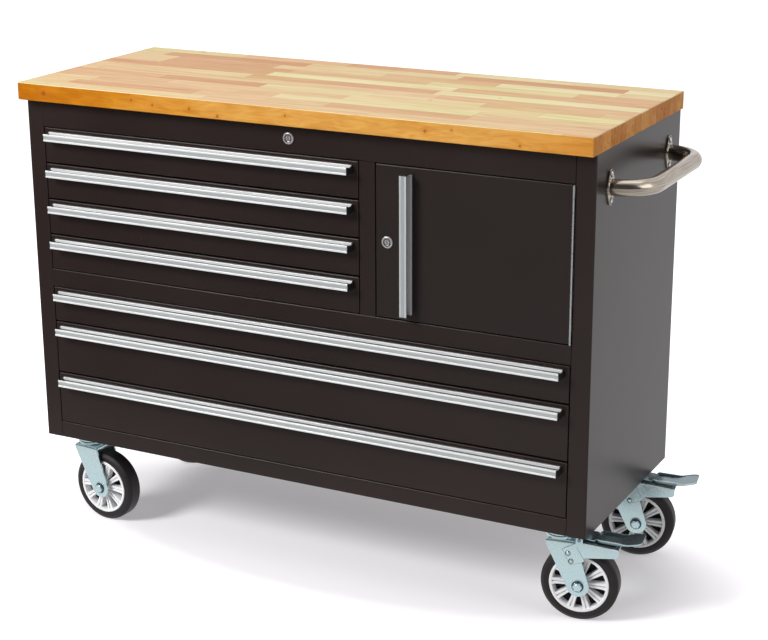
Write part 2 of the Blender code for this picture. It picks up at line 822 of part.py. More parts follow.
def swept_tube(path, radius, sides, height):
    """A round bar along a path that lies flat in plan."""
    points = [Vector((x, y, height)) for x, y in path]
    shape = bmesh.new()
    rings = []
    last = len(points) - 1
    for index, point in enumerate(points):
        ahead = points[min(index + 1, last)] - point
        behind = point - points[max(index - 1, 0)]
        heading = (ahead.normalized() + behind.normalized()).normalized()
        outward = Vector((heading.y, -heading.x, 0))
        ring = []
        for step in range(sides):
            angle = 2 * math.pi * step / sides
            offset = outward * math.cos(angle) + Vector((0, 0, 1)) * math.sin(angle)
            ring.append(shape.verts.new(point + offset * radius))
        rings.append(ring)
    for lower, upper in zip(rings, rings[1:]):
        for step in range(sides):
            after = (step + 1) % sides
            shape.faces.new((lower[step], lower[after], upper[after], upper[step]))
    shape.faces.new(rings[0])
    shape.faces.new(rings[-1])
    return finished(shape)


def lobed_plate(y, height):
    """A fixing plate: a round middle that narrows to a lobe above and one below."""
    spread = math.degrees(math.acos((HANDLE_PLATE_RADIUS - HANDLE_LOBE_RADIUS) / HANDLE_LOBE_OFFSET))
    steps = HANDLE_LOBE_STEPS
    middle = HANDLE_PLATE_RADIUS
    lobe = HANDLE_LOBE_RADIUS
    top = (y, height + HANDLE_LOBE_OFFSET)
    foot = (y, height - HANDLE_LOBE_OFFSET)
    outline = arc(top, lobe, 90 - spread, 90 + spread, steps)
    outline += arc((y, height), middle, 90 + spread, 270 - spread, steps)
    outline += arc(foot, lobe, 270 - spread, 270 + spread, steps)
    outline += arc((y, height), middle, -90 + spread, 90 - spread, steps)
    start = HALF_WIDTH + SEAT
    return prism(outline, start, start + HANDLE_PLATE_THICKNESS, "x")


def build_handle(body):
    """The tube push handle with a plate welded on each end."""
    height = BODY_TOP - HANDLE_DROP
    front = FRONT + HANDLE_FRONT_INSET
    tube = swept_tube(handle_path(), HANDLE_TUBE_RADIUS, HANDLE_SIDES, height)
    handle = place("push_handle", tube, body, stainless, smooth=True)
    weld(handle, lobed_plate(front, height), "front_plate")
    weld(handle, lobed_plate(front + HANDLE_LEG_SPACING, height), "rear_plate")


# Casters


def build_caster_plate(name, body, spot):
    """The top plate with the kingpin and its nut, bolted under the cabinet's floor."""
    half_length = CASTER_PLATE_LENGTH / 2
    half_width = CASTER_PLATE_WIDTH / 2
    low = (-half_length, -half_width, PLATE_BOTTOM)
    high = (half_length, half_width, CASTER_HEIGHT)
    plate = place(name + "_plate", boxes((low, high)), body, zinc, spot)
    nut_top = CROWN_BOTTOM - SEAT
    stem = [
        (KINGPIN_NUT_RADIUS, nut_top - KINGPIN_NUT_HEIGHT),
        (KINGPIN_NUT_RADIUS, nut_top),
        (KINGPIN_RADIUS, nut_top),
        (KINGPIN_RADIUS, BOSS_BOTTOM),
        (RACE_BOSS_RADIUS, BOSS_BOTTOM),
        (RACE_BOSS_RADIUS, PLATE_BOTTOM + SEAT),
    ]
    weld(plate, turned(stem, PIN_SIDES, "z", closed=False), "kingpin")


def tangent_outline(end_centre, end_radius, corners, steps):
    """A plate outline from two top corners down to a round end, with tangent sides."""
    (left, top), (right, _) = corners
    centre = Vector(end_centre)

    def tangent(corner, side):
        away = Vector(corner) - centre
        lean = math.degrees(math.acos(end_radius / away.length))
        return math.degrees(math.atan2(away.y, away.x)) + side * lean

    start = tangent((left, top), 1)
    end = tangent((right, top), -1)
    return [(right, top), (left, top)] + arc(end_centre, end_radius, start, end + 360, steps)


def build_fork(name, carrier):
    """The fork: a crown with its ball race, and two arms down to the axle."""
    corners = ((-FORK_CROWN_BACK, CROWN_TOP), (FORK_CROWN_FRONT, CROWN_TOP))
    axle = (CASTER_TRAIL, WHEEL_RADIUS)
    outline = tangent_outline(axle, FORK_END_RADIUS, corners, FORK_END_STEPS)
    fork = place(name + "_fork", prism(outline, -FORK_OUTER, FORK_OUTER, "y"), carrier, zinc)
    reach = CASTER_TRAIL + FORK_END_RADIUS + OVERRUN
    slot = ((-reach, -FORK_INNER, 0), (reach, FORK_INNER, CROWN_BOTTOM))
    cut(fork, boxes(slot), "slot")
    race = disc(RACE_RADIUS, CROWN_TOP - FORK_CROWN_THICKNESS / 2, RACE_TOP, RACE_SIDES, "z")
    weld(fork, race, "race")
    hole = disc(KINGPIN_RADIUS + SEAT, CROWN_BOTTOM - OVERRUN, RACE_TOP + OVERRUN, PIN_SIDES, "z")
    cut(fork, hole, "kingpin_hole")
    bore = disc(AXLE_RADIUS + SEAT, -FORK_OUTER - OVERRUN, FORK_OUTER + OVERRUN,
                PIN_SIDES, "y", (CASTER_TRAIL, 0, WHEEL_RADIUS))
    cut(fork, bore, "axle_hole")


def build_axle(name, carrier, seat):
    """The axle bolt: hexagonal head, shank and nut in one line across the fork."""
    head = seat + SEAT
    end = head + AXLE_HEAD_HEIGHT
    centre = (CASTER_TRAIL, 0, WHEEL_RADIUS)
    shank = disc(AXLE_RADIUS, -end - SEAT, end + SEAT, PIN_SIDES, "y", centre)
    axle = place(name + "_axle", shank, carrier, zinc)
    heads = merged(
        disc(AXLE_HEAD_RADIUS, head, end, BOLT_SIDES, "y", centre),
        disc(AXLE_HEAD_RADIUS, -end, -head, BOLT_SIDES, "y", centre),
    )
    weld(axle, heads, "heads")


def build_wheel(name, carrier):
    """The spoked rim and its rubber tyre, both centred on the axle."""
    flat = math.cos(math.pi / WHEEL_SIDES)
    half_ring = RIM_RING_WIDTH / 2
    half_hub = HUB_WIDTH / 2
    half_web = WEB_THICKNESS / 2
    ring_inner = RIM_RADIUS - RIM_RING_DEPTH
    bore = (AXLE_RADIUS + SEAT) / flat
    profile = [
        (bore, -half_hub),
        (HUB_RADIUS, -half_hub),
        (HUB_RADIUS, -half_web),
        (ring_inner, -half_web),
        (ring_inner, -half_ring),
        (RIM_RADIUS, -half_ring),
        (RIM_RADIUS, half_ring),
        (ring_inner, half_ring),
        (ring_inner, half_web),
        (HUB_RADIUS, half_web),
        (HUB_RADIUS, half_hub),
        (bore, half_hub),
    ]
    rim = place(name + "_rim", turned(profile, WHEEL_SIDES, "y", phase=0.5), carrier, silver_rim)
    spokes = []
    for number in range(SPOKE_COUNT):
        inner = HUB_RADIUS - SHEET
        outer = ring_inner + SHEET
        low = (inner, -SPOKE_DEPTH / 2, -SPOKE_WIDTH / 2)
        high = (outer, SPOKE_DEPTH / 2, SPOKE_WIDTH / 2)
        spoke = boxes((low, high))
        spoke.transform(Matrix.Rotation(2 * math.pi * number / SPOKE_COUNT, 4, "Y"))
        spokes.append(spoke)
    weld(rim, merged(*spokes), "spokes")
    half_tyre = TYRE_WIDTH / 2
    tread = WHEEL_RADIUS / flat
    inner = RIM_RADIUS + SEAT
    shoulder = tread - TYRE_SHOULDER
    crown = half_tyre - TYRE_SHOULDER
    profile = [
        (inner, -half_tyre),
        (shoulder, -half_tyre),
        (tread, -crown),
        (tread, crown),
        (shoulder, half_tyre),
        (inner, half_tyre),
    ]
    tyre = turned(profile, WHEEL_SIDES, "y", phase=0.5)
    place(name + "_tyre", tyre, carrier, rubber, smooth=True)


def brake_top(reach):
    """Height of the brake cover's top over the wheel."""
    share = (reach - BRAKE_COVER_START) / (BRAKE_REACH - BRAKE_COVER_START)
    return BRAKE_TOP_START + (BRAKE_TOP_END - BRAKE_TOP_START) * share


def build_brake(name, carrier):
    """The brake cover, riveted over the fork, and the pedal that pivots on its ears."""
    pivot = (PEDAL_PIVOT_REACH, PEDAL_PIVOT_HEIGHT)
    front_ear = PEDAL_PIVOT_REACH + EAR_RADIUS
    back_ear = PEDAL_PIVOT_REACH - EAR_RADIUS
    outline = list(BRAKE_TAB_CORNERS)
    outline += [
        (BRAKE_SKIRT_START, BRAKE_SKIRT_START_HEIGHT),
        (BRAKE_REACH, BRAKE_SKIRT_END_HEIGHT),
        (BRAKE_REACH, BRAKE_TOP_END + BRAKE_LIP),
        (front_ear, brake_top(front_ear) + BRAKE_LIP),
    ]
    outline += arc(pivot, EAR_RADIUS, 0, 180, EAR_STEPS)
    outline.append((back_ear, BRAKE_TOP_START - BRAKE_SHEET))
    cover = place(name + "_brake_cover", prism(outline, -BRAKE_OUTER, BRAKE_OUTER, "y"),
                  carrier, zinc)
    low = min(height for _, height in BRAKE_TAB_CORNERS) - OVERRUN
    far = BRAKE_REACH + OVERRUN
    under = [
        (-OVERRUN, low),
        (far, low),
        (far, brake_top(far) - BRAKE_SHEET),
        (BRAKE_COVER_START, BRAKE_TOP_START - BRAKE_SHEET),
        (-OVERRUN, BRAKE_TOP_START - BRAKE_SHEET),
    ]
    cut(cover, prism(under, -BRAKE_INNER, BRAKE_INNER, "y"), "under_side")
    high = PEDAL_PIVOT_HEIGHT + EAR_RADIUS + OVERRUN
    over = [
        (BRAKE_COVER_START, brake_top(BRAKE_COVER_START)),
        (far, brake_top(far)),
        (far, high),
        (-OVERRUN, high),
        (-OVERRUN, BRAKE_SKIRT_START_HEIGHT),
        (BRAKE_COVER_START, BRAKE_SKIRT_START_HEIGHT),
    ]
    cut(cover, prism(over, -BRAKE_INNER, BRAKE_INNER, "y"), "between_ears")
    hole = disc(PEDAL_PIN_RADIUS + SEAT, -BRAKE_OUTER - OVERRUN, BRAKE_OUTER + OVERRUN,
                PIN_SIDES, "y", (pivot[0], 0, pivot[1]))
    cut(cover, hole, "pin_hole")
    pedal_body = anchor(name + "_pedal_body", carrier, (pivot[0], 0, pivot[1]))
    build_pedal(name, pedal_body)


def build_pedal(name, carrier):
    """The foot pedal: a tongue that widens and curls up, on its own cross pin."""
    length = PEDAL_REACH - PEDAL_PIVOT_REACH
    half = PEDAL_THICKNESS / 2
    shape = bmesh.new()
    rings = []
    for length_share, width_share, rise_share in PEDAL_STATION_SHARES:
        along = length * length_share
        side = PEDAL_WIDTH * width_share / 2
        rise = PEDAL_RISE * rise_share
        corners = (
            (along, -side, rise - half), (along, side, rise - half),
            (along, side, rise + half), (along, -side, rise + half),
        )
        rings.append([shape.verts.new(corner) for corner in corners])
    for lower, upper in zip(rings, rings[1:]):
        for step in range(4):
            after = (step + 1) % 4
            shape.faces.new((lower[step], lower[after], upper[after], upper[step]))
    shape.faces.new(rings[0])
    shape.faces.new(rings[-1])
    pedal = place(name + "_pedal", finished(shape), carrier, zinc)
    pin = disc(PEDAL_PIN_RADIUS, -BRAKE_OUTER, BRAKE_OUTER, PIN_SIDES, "y")
    weld(pedal, pin, "pin")


def build_casters(body):
    """Four swivel casters. Each body's empty stands on its joint."""
    for name, side, end, turn, has_brake in CASTERS:
        x = side * (HALF_WIDTH - CASTER_SIDE_INSET)
        y = FRONT + CASTER_FRONT_INSET if end < 0 else BACK - CASTER_BACK_INSET
        spot = (x, y, 0)
        build_caster_plate(name, body, spot)
        swivel = anchor(name + "_swivel", body, spot, turn)
        build_fork(name, swivel)
        build_axle(name, swivel, FORK_OUTER)
        wheel = anchor(name + "_wheel", swivel, (CASTER_TRAIL, 0, WHEEL_RADIUS))
        build_wheel(name, wheel)
        if has_brake:
            build_brake(name, swivel)


def main():
    clear_scene()
    # The bench's own box is centred on the origin: half of what stands out more on the right
    shift = (right_reach() - WORKTOP_SIDE_OVERHANG) / 2
    body = anchor("tool_bench", None, (-shift, 0, 0))
    build_shell(body)
    build_rails(body)
    build_deck(body)
    build_racks(body)
    build_worktop(body)
    build_drawers(body)
    build_door(body)
    build_rail_lock(body)
    build_handle(body)
    build_casters(body)
    bpy.context.view_layer.update()


main()
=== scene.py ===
"""Looks of a rolling tool bench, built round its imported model.

Lengths are in metres and angles in degrees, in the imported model's own space:
+X is the bench's right, -Y its front and the floor is at Z = 0.
"""

import logging
import math
from dataclasses import dataclass
from enum import Enum
from typing import Callable, Iterable, Sequence

import bmesh
import bpy
from mathutils import Matrix, Vector


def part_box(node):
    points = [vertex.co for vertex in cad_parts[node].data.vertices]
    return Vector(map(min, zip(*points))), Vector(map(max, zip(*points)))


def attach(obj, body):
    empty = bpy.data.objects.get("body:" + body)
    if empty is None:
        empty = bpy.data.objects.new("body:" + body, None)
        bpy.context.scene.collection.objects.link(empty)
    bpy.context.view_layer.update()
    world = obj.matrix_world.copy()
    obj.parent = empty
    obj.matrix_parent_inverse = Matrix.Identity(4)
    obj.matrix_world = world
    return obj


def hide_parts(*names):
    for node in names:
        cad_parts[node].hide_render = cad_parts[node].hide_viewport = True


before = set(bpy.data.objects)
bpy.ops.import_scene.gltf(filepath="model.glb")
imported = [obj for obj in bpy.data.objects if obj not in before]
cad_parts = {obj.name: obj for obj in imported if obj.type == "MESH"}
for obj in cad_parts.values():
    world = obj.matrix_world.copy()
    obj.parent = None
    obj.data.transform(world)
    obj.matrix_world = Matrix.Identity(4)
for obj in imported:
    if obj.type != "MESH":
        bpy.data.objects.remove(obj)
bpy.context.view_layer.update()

Colour = tuple[float, float, float]
Point = tuple[float, float]
Spot = Sequence[float]

SEAT = 0.0003
SHARP = 34.0
log = logging.getLogger("tool_bench")


def tone(red: int, green: int, blue: int) -> Colour:
    """Turn a screen colour into the linear values that a shader takes.

    Args:
        red: Red, 0 to 255.
        green: Green, 0 to 255.
        blue: Blue, 0 to 255.

    Returns:
        The linear colour.
    """
    def linear(value: int) -> float:
        """One channel."""
        share = value / 255
        return share / 12.92 if share <= 0.04045 else ((share + 0.055) / 1.055) ** 2.4

    return linear(red), linear(green), linear(blue)


# Outlines


def arc(centre: Point, radius: float, start: float, end: float, steps: int) -> list[Point]:
    """Points on a round stretch.

    Args:
        centre: Middle of the circle.
        radius: Its radius.
        start: Angle of the first point.
        end: Angle of the last point.
        steps: Number of chords.

    Returns:
        The points in order.
    """
    turns = [math.radians(start + (end - start) * step / steps) for step in range(steps + 1)]
    return [(centre[0] + radius * math.cos(turn), centre[1] + radius * math.sin(turn))
            for turn in turns]


def rounded(points: Sequence[Point], radii: Sequence[float], steps: int = 4) -> list[Point]:
    """Replace the corners of a closed outline by arcs.

    Args:
        points: The corners in order.
        radii: The radius at each corner, zero for a sharp one.
        steps: Chords in each arc.

    Returns:
        The rounded outline.
    """
    done: list[Point] = []
    count = len(points)
    for index, (point, radius) in enumerate(zip(points, radii)):
        corner = Vector(point)
        before = Vector(points[index - 1]) - corner
        after = Vector(points[(index + 1) % count]) - corner
        if radius <= 0 or min(before.length, after.length) == 0:
            done.append(point)
            continue
        spread = before.angle(after)
        if spread > math.pi - 0.02:
            done.append(point)
            continue
        reach = min(radius / math.tan(spread / 2), 0.49 * min(before.length, after.length))
        radius = reach * math.tan(spread / 2)
        middle = corner + (before.normalized() + after.normalized()).normalized() \
            * radius / math.sin(spread / 2)
        first = corner + before.normalized() * reach - middle
        last = corner + after.normalized() * reach - middle
        start = math.atan2(first.y, first.x)
        sweep = (math.atan2(last.y, last.x) - start + math.pi) % (2 * math.pi) - math.pi
        done += arc(tuple(middle), radius, math.degrees(start), math.degrees(start + sweep), steps)
    return done


def rectangle(low: Point, high: Point, corner: float, inset: float = 0.0,
              steps: int = 4) -> list[Point]:
    """A rounded rectangle, the same number of points at any inset.

    Args:
        low: Lowest corner.
        high: Highest corner.
        corner: Corner radius before the inset.
        inset: How far every side stands in.
        steps: Chords in each corner.

    Returns:
        The outline.
    """
    left, base = low[0] + inset, low[1] + inset
    right, top = high[0] - inset, high[1] - inset
    radius = max(corner - inset, 0.00005)
    corners = ((left, base), (right, base), (right, top), (left, top))
    return rounded(corners, [radius] * 4, steps)


def tangent_outline(centre: Point, radius: float, corners: Sequence[Point],
                    steps: int) -> list[Point]:
    """An outline from two top corners down to a round end, with tangent sides.

    Args:
        centre: Middle of the round end.
        radius: Its radius.
        corners: The left and the right top corner.
        steps: Chords in the round end.

    Returns:
        The outline, from the right corner over the left one.
    """
    middle = Vector(centre)

    def tangent(corner: Point, side: int) -> float:
        """Angle at which the line from a corner touches the end."""
        away = Vector(corner) - middle
        lean = math.degrees(math.acos(radius / away.length))
        return math.degrees(math.atan2(away.y, away.x)) + side * lean

    left, right = corners
    return [right, left] + arc(centre, radius, tangent(left, 1), tangent(right, -1) + 360, steps)


# Meshes


class Axis(Enum):
    """The three directions that a shape is drawn along."""

    X = 0
    Y = 1
    Z = 2

    def spot(self, point: Point, height: float) -> Vector:
        """Put an outline point, in the two other axes, at a height along this one."""
        place = Vector((0, 0, 0))
        first, second = [axis for axis in range(3) if axis != self.value]
        place[first], place[second] = point
        place[self.value] = height
        return place


class Shape:
    """A mesh in the making, with the number of a finish on each face."""

    def __init__(self) -> None:
        """Start with nothing."""
        self.mesh = bmesh.new()

    def skin(self, rings: Sequence[Iterable[Vector]], slot: int = 0, capped: bool = True,
             looped: bool = False) -> None:
        """Join rings of points by a skin.

        Args:
            rings: Rings with the same number of points each.
            slot: Number of the finish.
            capped: Whether the first and the last ring are closed by a face.
            looped: Whether the last ring joins the first one.
        """
        made = [[self.mesh.verts.new(point) for point in ring] for ring in rings]
        faces = []
        pairs = list(zip(made, made[1:]))
        if looped:
            pairs.append((made[-1], made[0]))
        elif capped:
            faces += [self.mesh.faces.new(made[0]), self.mesh.faces.new(made[-1])]
        for lower, upper in pairs:
            for step, corner in enumerate(lower):
                after = (step + 1) % len(lower)
                faces.append(self.mesh.faces.new((corner, lower[after], upper[after], upper[step])))
        for face in faces:
            face.material_index = slot

    def prism(self, outline: Sequence[Point], axis: Axis, start: float, end: float,
              slot: int = 0) -> None:
        """Extrude a closed outline.

        Args:
            outline: Points in the two other axes, in X, Y, Z order.
            axis: The axis it is drawn along.
            start: Where it starts.
            end: Where it ends.
            slot: Number of the finish.
        """
        self.skin([[axis.spot(point, height) for point in outline] for height in (start, end)], slot)

    def box(self, low: Spot, high: Spot, slot: int = 0) -> None:
        """Add a box between two corners."""
        self.prism(((low[0], low[1]), (high[0], low[1]), (high[0], high[1]), (low[0], high[1])),
                   Axis.Z, low[2], high[2], slot)

    def stack(self, low: Point, high: Point, corner: float, profile: Sequence[Point], axis: Axis,
              slot: int = 0, steps: int = 4) -> None:
        """Skin a rounded rectangle that steps in and out along an axis.

        Args:
            low: Lowest corner of the rectangle.
            high: Its highest corner.
            corner: Its corner radius.
            profile: (inset, height) pairs from one end to the other.
            axis: The axis of the heights.
            slot: Number of the finish.
            steps: Chords in each corner.
        """
        self.skin([[axis.spot(point, height) for point in rectangle(low, high, corner, inset, steps)]
                   for inset, height in profile], slot)

    def lathe(self, profile: Sequence[Point], axis: Axis, centre: Spot, sides: int, slot: int = 0,
              looped: bool = False, phase: float = 0.0) -> None:
        """Turn a profile about an axis.

        Args:
            profile: (radius, height) pairs.
            axis: The axis.
            centre: Where the heights start.
            sides: Number of sides.
            slot: Number of the finish.
            looped: Whether the profile is closed, which leaves a bore.
            phase: Share of a side that the ring is turned by.
        """
        middle = Vector(centre)
        rings = []
        for radius, height in profile:
            turns = [math.tau * (step + phase) / sides for step in range(sides)]
            rings.append([middle + axis.spot((radius * math.cos(turn), radius * math.sin(turn)),
                                             height) for turn in turns])
        self.skin(rings, slot, looped=looped)

    def tube(self, path: Sequence[Vector], radius: float, sides: int, slot: int = 0) -> None:
        """Sweep a round bar along a path that lies flat in plan."""
        rings = []
        last = len(path) - 1
        for index, point in enumerate(path):
            ahead = path[min(index + 1, last)] - path[max(index - 1, 0)]
            outward = Vector((ahead.y, -ahead.x, 0)).normalized()
            turns = [math.tau * step / sides for step in range(sides)]
            rings.append([point + radius * (outward * math.cos(turn)
                                            + Vector((0, 0, math.sin(turn)))) for turn in turns])
        self.skin(rings, slot)

    def take(self, mesh: bpy.types.Mesh, slot: int = 0) -> None:
        """Add a finished mesh and drop the original."""
        known = len(self.mesh.faces)
        self.mesh.from_mesh(mesh)
        self.mesh.faces.ensure_lookup_table()
        for face in self.mesh.faces[known:]:
            face.material_index = slot
        bpy.data.meshes.remove(mesh)

    def move(self, matrix: Matrix) -> "Shape":
        """Carry the whole shape by a matrix."""
        self.mesh.transform(matrix)
        return self

    def bevel(self, width: float, segments: int, chosen: Callable[[bmesh.types.BMEdge], bool]) -> None:
        """Round the edges that a test picks."""
        edges = [edge for edge in self.mesh.edges if chosen(edge)]
        bmesh.ops.bevel(self.mesh, geom=edges, offset=width, segments=segments, profile=0.5,
                        affect="EDGES", clamp_overlap=True)

    def plain(self, name: str) -> bpy.types.Mesh:
        """Close the shape into a mesh whose faces point out."""
        bmesh.ops.recalc_face_normals(self.mesh, faces=self.mesh.faces)
        mesh = bpy.data.meshes.new(name)
        self.mesh.to_mesh(mesh)
        self.mesh.free()
        return mesh


def standing(name: str, mesh: bpy.types.Mesh) -> bpy.types.Object:
    """Link a mesh as an object at the origin."""
    item = bpy.data.objects.new(name, mesh)
    bpy.context.scene.collection.objects.link(item)
    return item


def settle(item: bpy.types.Object) -> None:
    """Turn an object's modifiers into its plain mesh."""
    graph = bpy.context.evaluated_depsgraph_get()
    graph.update()
    mesh = bpy.data.meshes.new_from_object(item.evaluated_get(graph))
    item.modifiers.clear()
    spare = item.data
    item.data = mesh
    bpy.data.meshes.remove(spare)


def joined(base: Shape, others: Sequence[Shape], operation: str = "DIFFERENCE") -> Shape:
    """Cut guide shapes out of a shape, or keep only what they share.

    Args:
        base: The shape to work on.
        others: The guides.
        operation: DIFFERENCE, INTERSECT or UNION.

    Returns:
        The new shape.
    """
    target = standing("work", base.plain("work"))
    guides = [standing("guide", other.plain("guide")) for other in others]
    for guide in guides:
        step = target.modifiers.new("step", "BOOLEAN")
        step.operation = operation
        step.solver = "EXACT"
        step.object = guide
    settle(target)
    result = Shape()
    result.mesh.from_mesh(target.data)
    for item in (target, *guides):
        spare = item.data
        bpy.data.objects.remove(item)
        bpy.data.meshes.remove(spare)
    return result


def finish_piece(shape: Shape, name: str, finishes: Sequence["Finish"], body: str,
                 replaced: Sequence[str] = (), edge: float = 0.0,
                 sharp: float = SHARP) -> bpy.types.Object:
    """Close, round, dress and hand over one piece.

    Args:
        shape: The shape.
        name: The piece's name.
        finishes: Its finishes, in the order of their numbers.
        body: The body that it rides on.
        replaced: The solids that it stands for.
        edge: Width of the rounding on its sharp edges.
        sharp: Angle from which an edge stays sharp.

    Returns:
        The finished object.
    """
    item = standing(name, shape.plain(name))
    for finish in finishes:
        item.data.materials.append(finish.material())
    if edge:
        rounding = item.modifiers.new("edges", "BEVEL")
        rounding.width = edge
        rounding.segments = 2
        rounding.limit_method = "ANGLE"
        rounding.angle_limit = math.radians(sharp)
        settle(item)
    item.data.shade_smooth()
    item.data.set_sharp_from_angle(angle=math.radians(sharp))
    even = item.modifiers.new("even", "WEIGHTED_NORMAL")
    even.keep_sharp = True
    settle(item)
    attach(item, body)
    if replaced:
        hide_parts(*replaced)
    log.info("%s: %d faces on %s", name, len(item.data.polygons), body)
    return item


# Geometry Nodes


class Growth:
    """A Geometry Nodes tree with named inputs, whose result becomes a plain mesh."""

    def __init__(self, name: str, inputs: dict[str, str]) -> None:
        """Make the tree's sockets.

        Args:
            name: The tree's name.
            inputs: Socket type of each named input.
        """
        self.tree = bpy.data.node_groups.new(name, "GeometryNodeTree")
        face = self.tree.interface
        face.new_socket("Geometry", in_out="OUTPUT", socket_type="NodeSocketGeometry")
        face.new_socket("Geometry", in_out="INPUT", socket_type="NodeSocketGeometry")
        self.inputs = {label: face.new_socket(label, in_out="INPUT", socket_type="NodeSocket" + kind)
                       for label, kind in {**inputs, "Finish": "Material"}.items()}
        self.source = self.tree.nodes.new("NodeGroupInput")
        self.sink = self.tree.nodes.new("NodeGroupOutput")

    def add(self, kind: str, feeds: dict[str, object], **settings: object) -> bpy.types.Node:
        """Add a node.

        Args:
            kind: The node's type.
            feeds: What each of its inputs gets: an output or a value.
            settings: The node's own settings.

        Returns:
            The node.
        """
        node = self.tree.nodes.new(kind)
        for key, value in settings.items():
            setattr(node, key, value)
        for label, value in feeds.items():
            socket = node.inputs[label]
            if isinstance(value, bpy.types.NodeSocket):
                self.tree.links.new(value, socket)
            else:
                socket.default_value = value
        return node

    def close(self, instances: bpy.types.NodeSocket, then: Callable | None = None) -> None:
        """End the tree: realise the copies and set their finish."""
        real = self.add("GeometryNodeRealizeInstances", {"Geometry": instances}).outputs[0]
        if then:
            real = then(real)
        dressed = self.add("GeometryNodeSetMaterial",
                           {"Geometry": real, "Material": self.source.outputs["Finish"]})
        self.tree.links.new(dressed.outputs[0], self.sink.inputs[0])

    def grow(self, base: bpy.types.Mesh, finish: "Finish", **values: object) -> bpy.types.Mesh:
        """Run the tree on a mesh.

        Args:
            base: The mesh that goes in.
            finish: The finish of what comes out.
            values: The named inputs, with underscores for spaces.

        Returns:
            A new plain mesh.
        """
        item = standing("grown", base)
        step = item.modifiers.new("grow", "NODES")
        step.node_group = self.tree
        step[self.inputs["Finish"].identifier] = finish.material()
        for label, value in values.items():
            step[self.inputs[label.replace("_", " ")].identifier] = value
        settle(item)
        mesh = item.data
        bpy.data.objects.remove(item)
        return mesh


class HeadKind(Enum):
    """Forms of a fastener's head."""

    DOMED = "domed"
    HEXAGONAL = "hexagonal"


def ring_of_copies() -> Growth:
    """A tree that sets copies of one segment evenly round the Y axis, then places the ring."""
    growth = Growth("ring_of_copies", {"Count": "Int", "Centre": "Vector", "Turn": "Vector"})
    given = growth.source.outputs
    points = growth.add("GeometryNodePoints", {"Count": given["Count"]})
    index = growth.add("GeometryNodeInputIndex", {})
    share = growth.add("ShaderNodeMath", {}, operation="DIVIDE")
    growth.tree.links.new(index.outputs[0], share.inputs[0])
    growth.tree.links.new(given["Count"], share.inputs[1])
    angle = growth.add("ShaderNodeMath", {}, operation="MULTIPLY")
    growth.tree.links.new(share.outputs[0], angle.inputs[0])
    angle.inputs[1].default_value = math.tau
    spin = growth.add("ShaderNodeCombineXYZ", {"Y": angle.outputs[0]})
    turn = growth.add("FunctionNodeEulerToRotation", {"Euler": spin.outputs[0]})
    copies = growth.add("GeometryNodeInstanceOnPoints", {
        "Points": points.outputs[0], "Instance": given["Geometry"], "Rotation": turn.outputs[0],
    })

    def placed(real: bpy.types.NodeSocket) -> bpy.types.NodeSocket:
        """Stand the ring on its axle."""
        return growth.add("GeometryNodeTransform", {
            "Geometry": real, "Translation": given["Centre"], "Rotation": given["Turn"],
        }).outputs[0]

    growth.close(copies.outputs[0], placed)
    return growth


def heads_on_points(kind: HeadKind) -> Growth:
    """A tree that sets a fastener's head on every point of a mesh.

    Args:
        kind: Form of the head.

    Returns:
        The tree, whose Facing input says which way the heads point.
    """
    growth = Growth("heads_on_points_" + kind.value,
                    {"Radius": "Float", "Height": "Float", "Facing": "Vector"})
    given = growth.source.outputs
    if kind is HeadKind.DOMED:
        head = growth.add("GeometryNodeMeshUVSphere", {"Segments": 20, "Rings": 10, "Radius": 1.0})
    else:
        head = growth.add("GeometryNodeMeshCone", {
            "Vertices": 6, "Radius Top": 0.93, "Radius Bottom": 1.0, "Depth": 1.0,
        })
    size = growth.add("ShaderNodeCombineXYZ", {
        "X": given["Radius"], "Y": given["Radius"], "Z": given["Height"],
    })
    turn = growth.add("FunctionNodeAlignRotationToVector", {"Vector": given["Facing"]}, axis="Z")
    copies = growth.add("GeometryNodeInstanceOnPoints", {
        "Points": given["Geometry"], "Instance": head.outputs["Mesh"],
        "Rotation": turn.outputs[0], "Scale": size.outputs[0],
    })
    growth.close(copies.outputs[0])
    return growth


def knuckle_row() -> Growth:
    """A tree that sets every second knuckle of a piano hinge along its pin."""
    growth = Growth("knuckle_row", {
        "Count": "Int", "First": "Vector", "Step": "Vector", "Radius": "Float", "Length": "Float",
    })
    given = growth.source.outputs
    line = growth.add("GeometryNodeMeshLine", {
        "Count": given["Count"], "Start Location": given["First"], "Offset": given["Step"],
    }, mode="OFFSET", count_mode="TOTAL")
    knuckle = growth.add("GeometryNodeMeshCylinder", {
        "Vertices": 20, "Radius": given["Radius"], "Depth": given["Length"],
    })
    copies = growth.add("GeometryNodeInstanceOnPoints", {
        "Points": line.outputs[0], "Instance": knuckle.outputs["Mesh"],
    })
    growth.close(copies.outputs[0])
    return growth


def points_mesh(spots: Iterable[Spot]) -> bpy.types.Mesh:
    """A mesh of single points, for heads to sit on."""
    mesh = bpy.data.meshes.new("points")
    mesh.from_pydata([tuple(spot) for spot in spots], [], [])
    return mesh


# Finishes


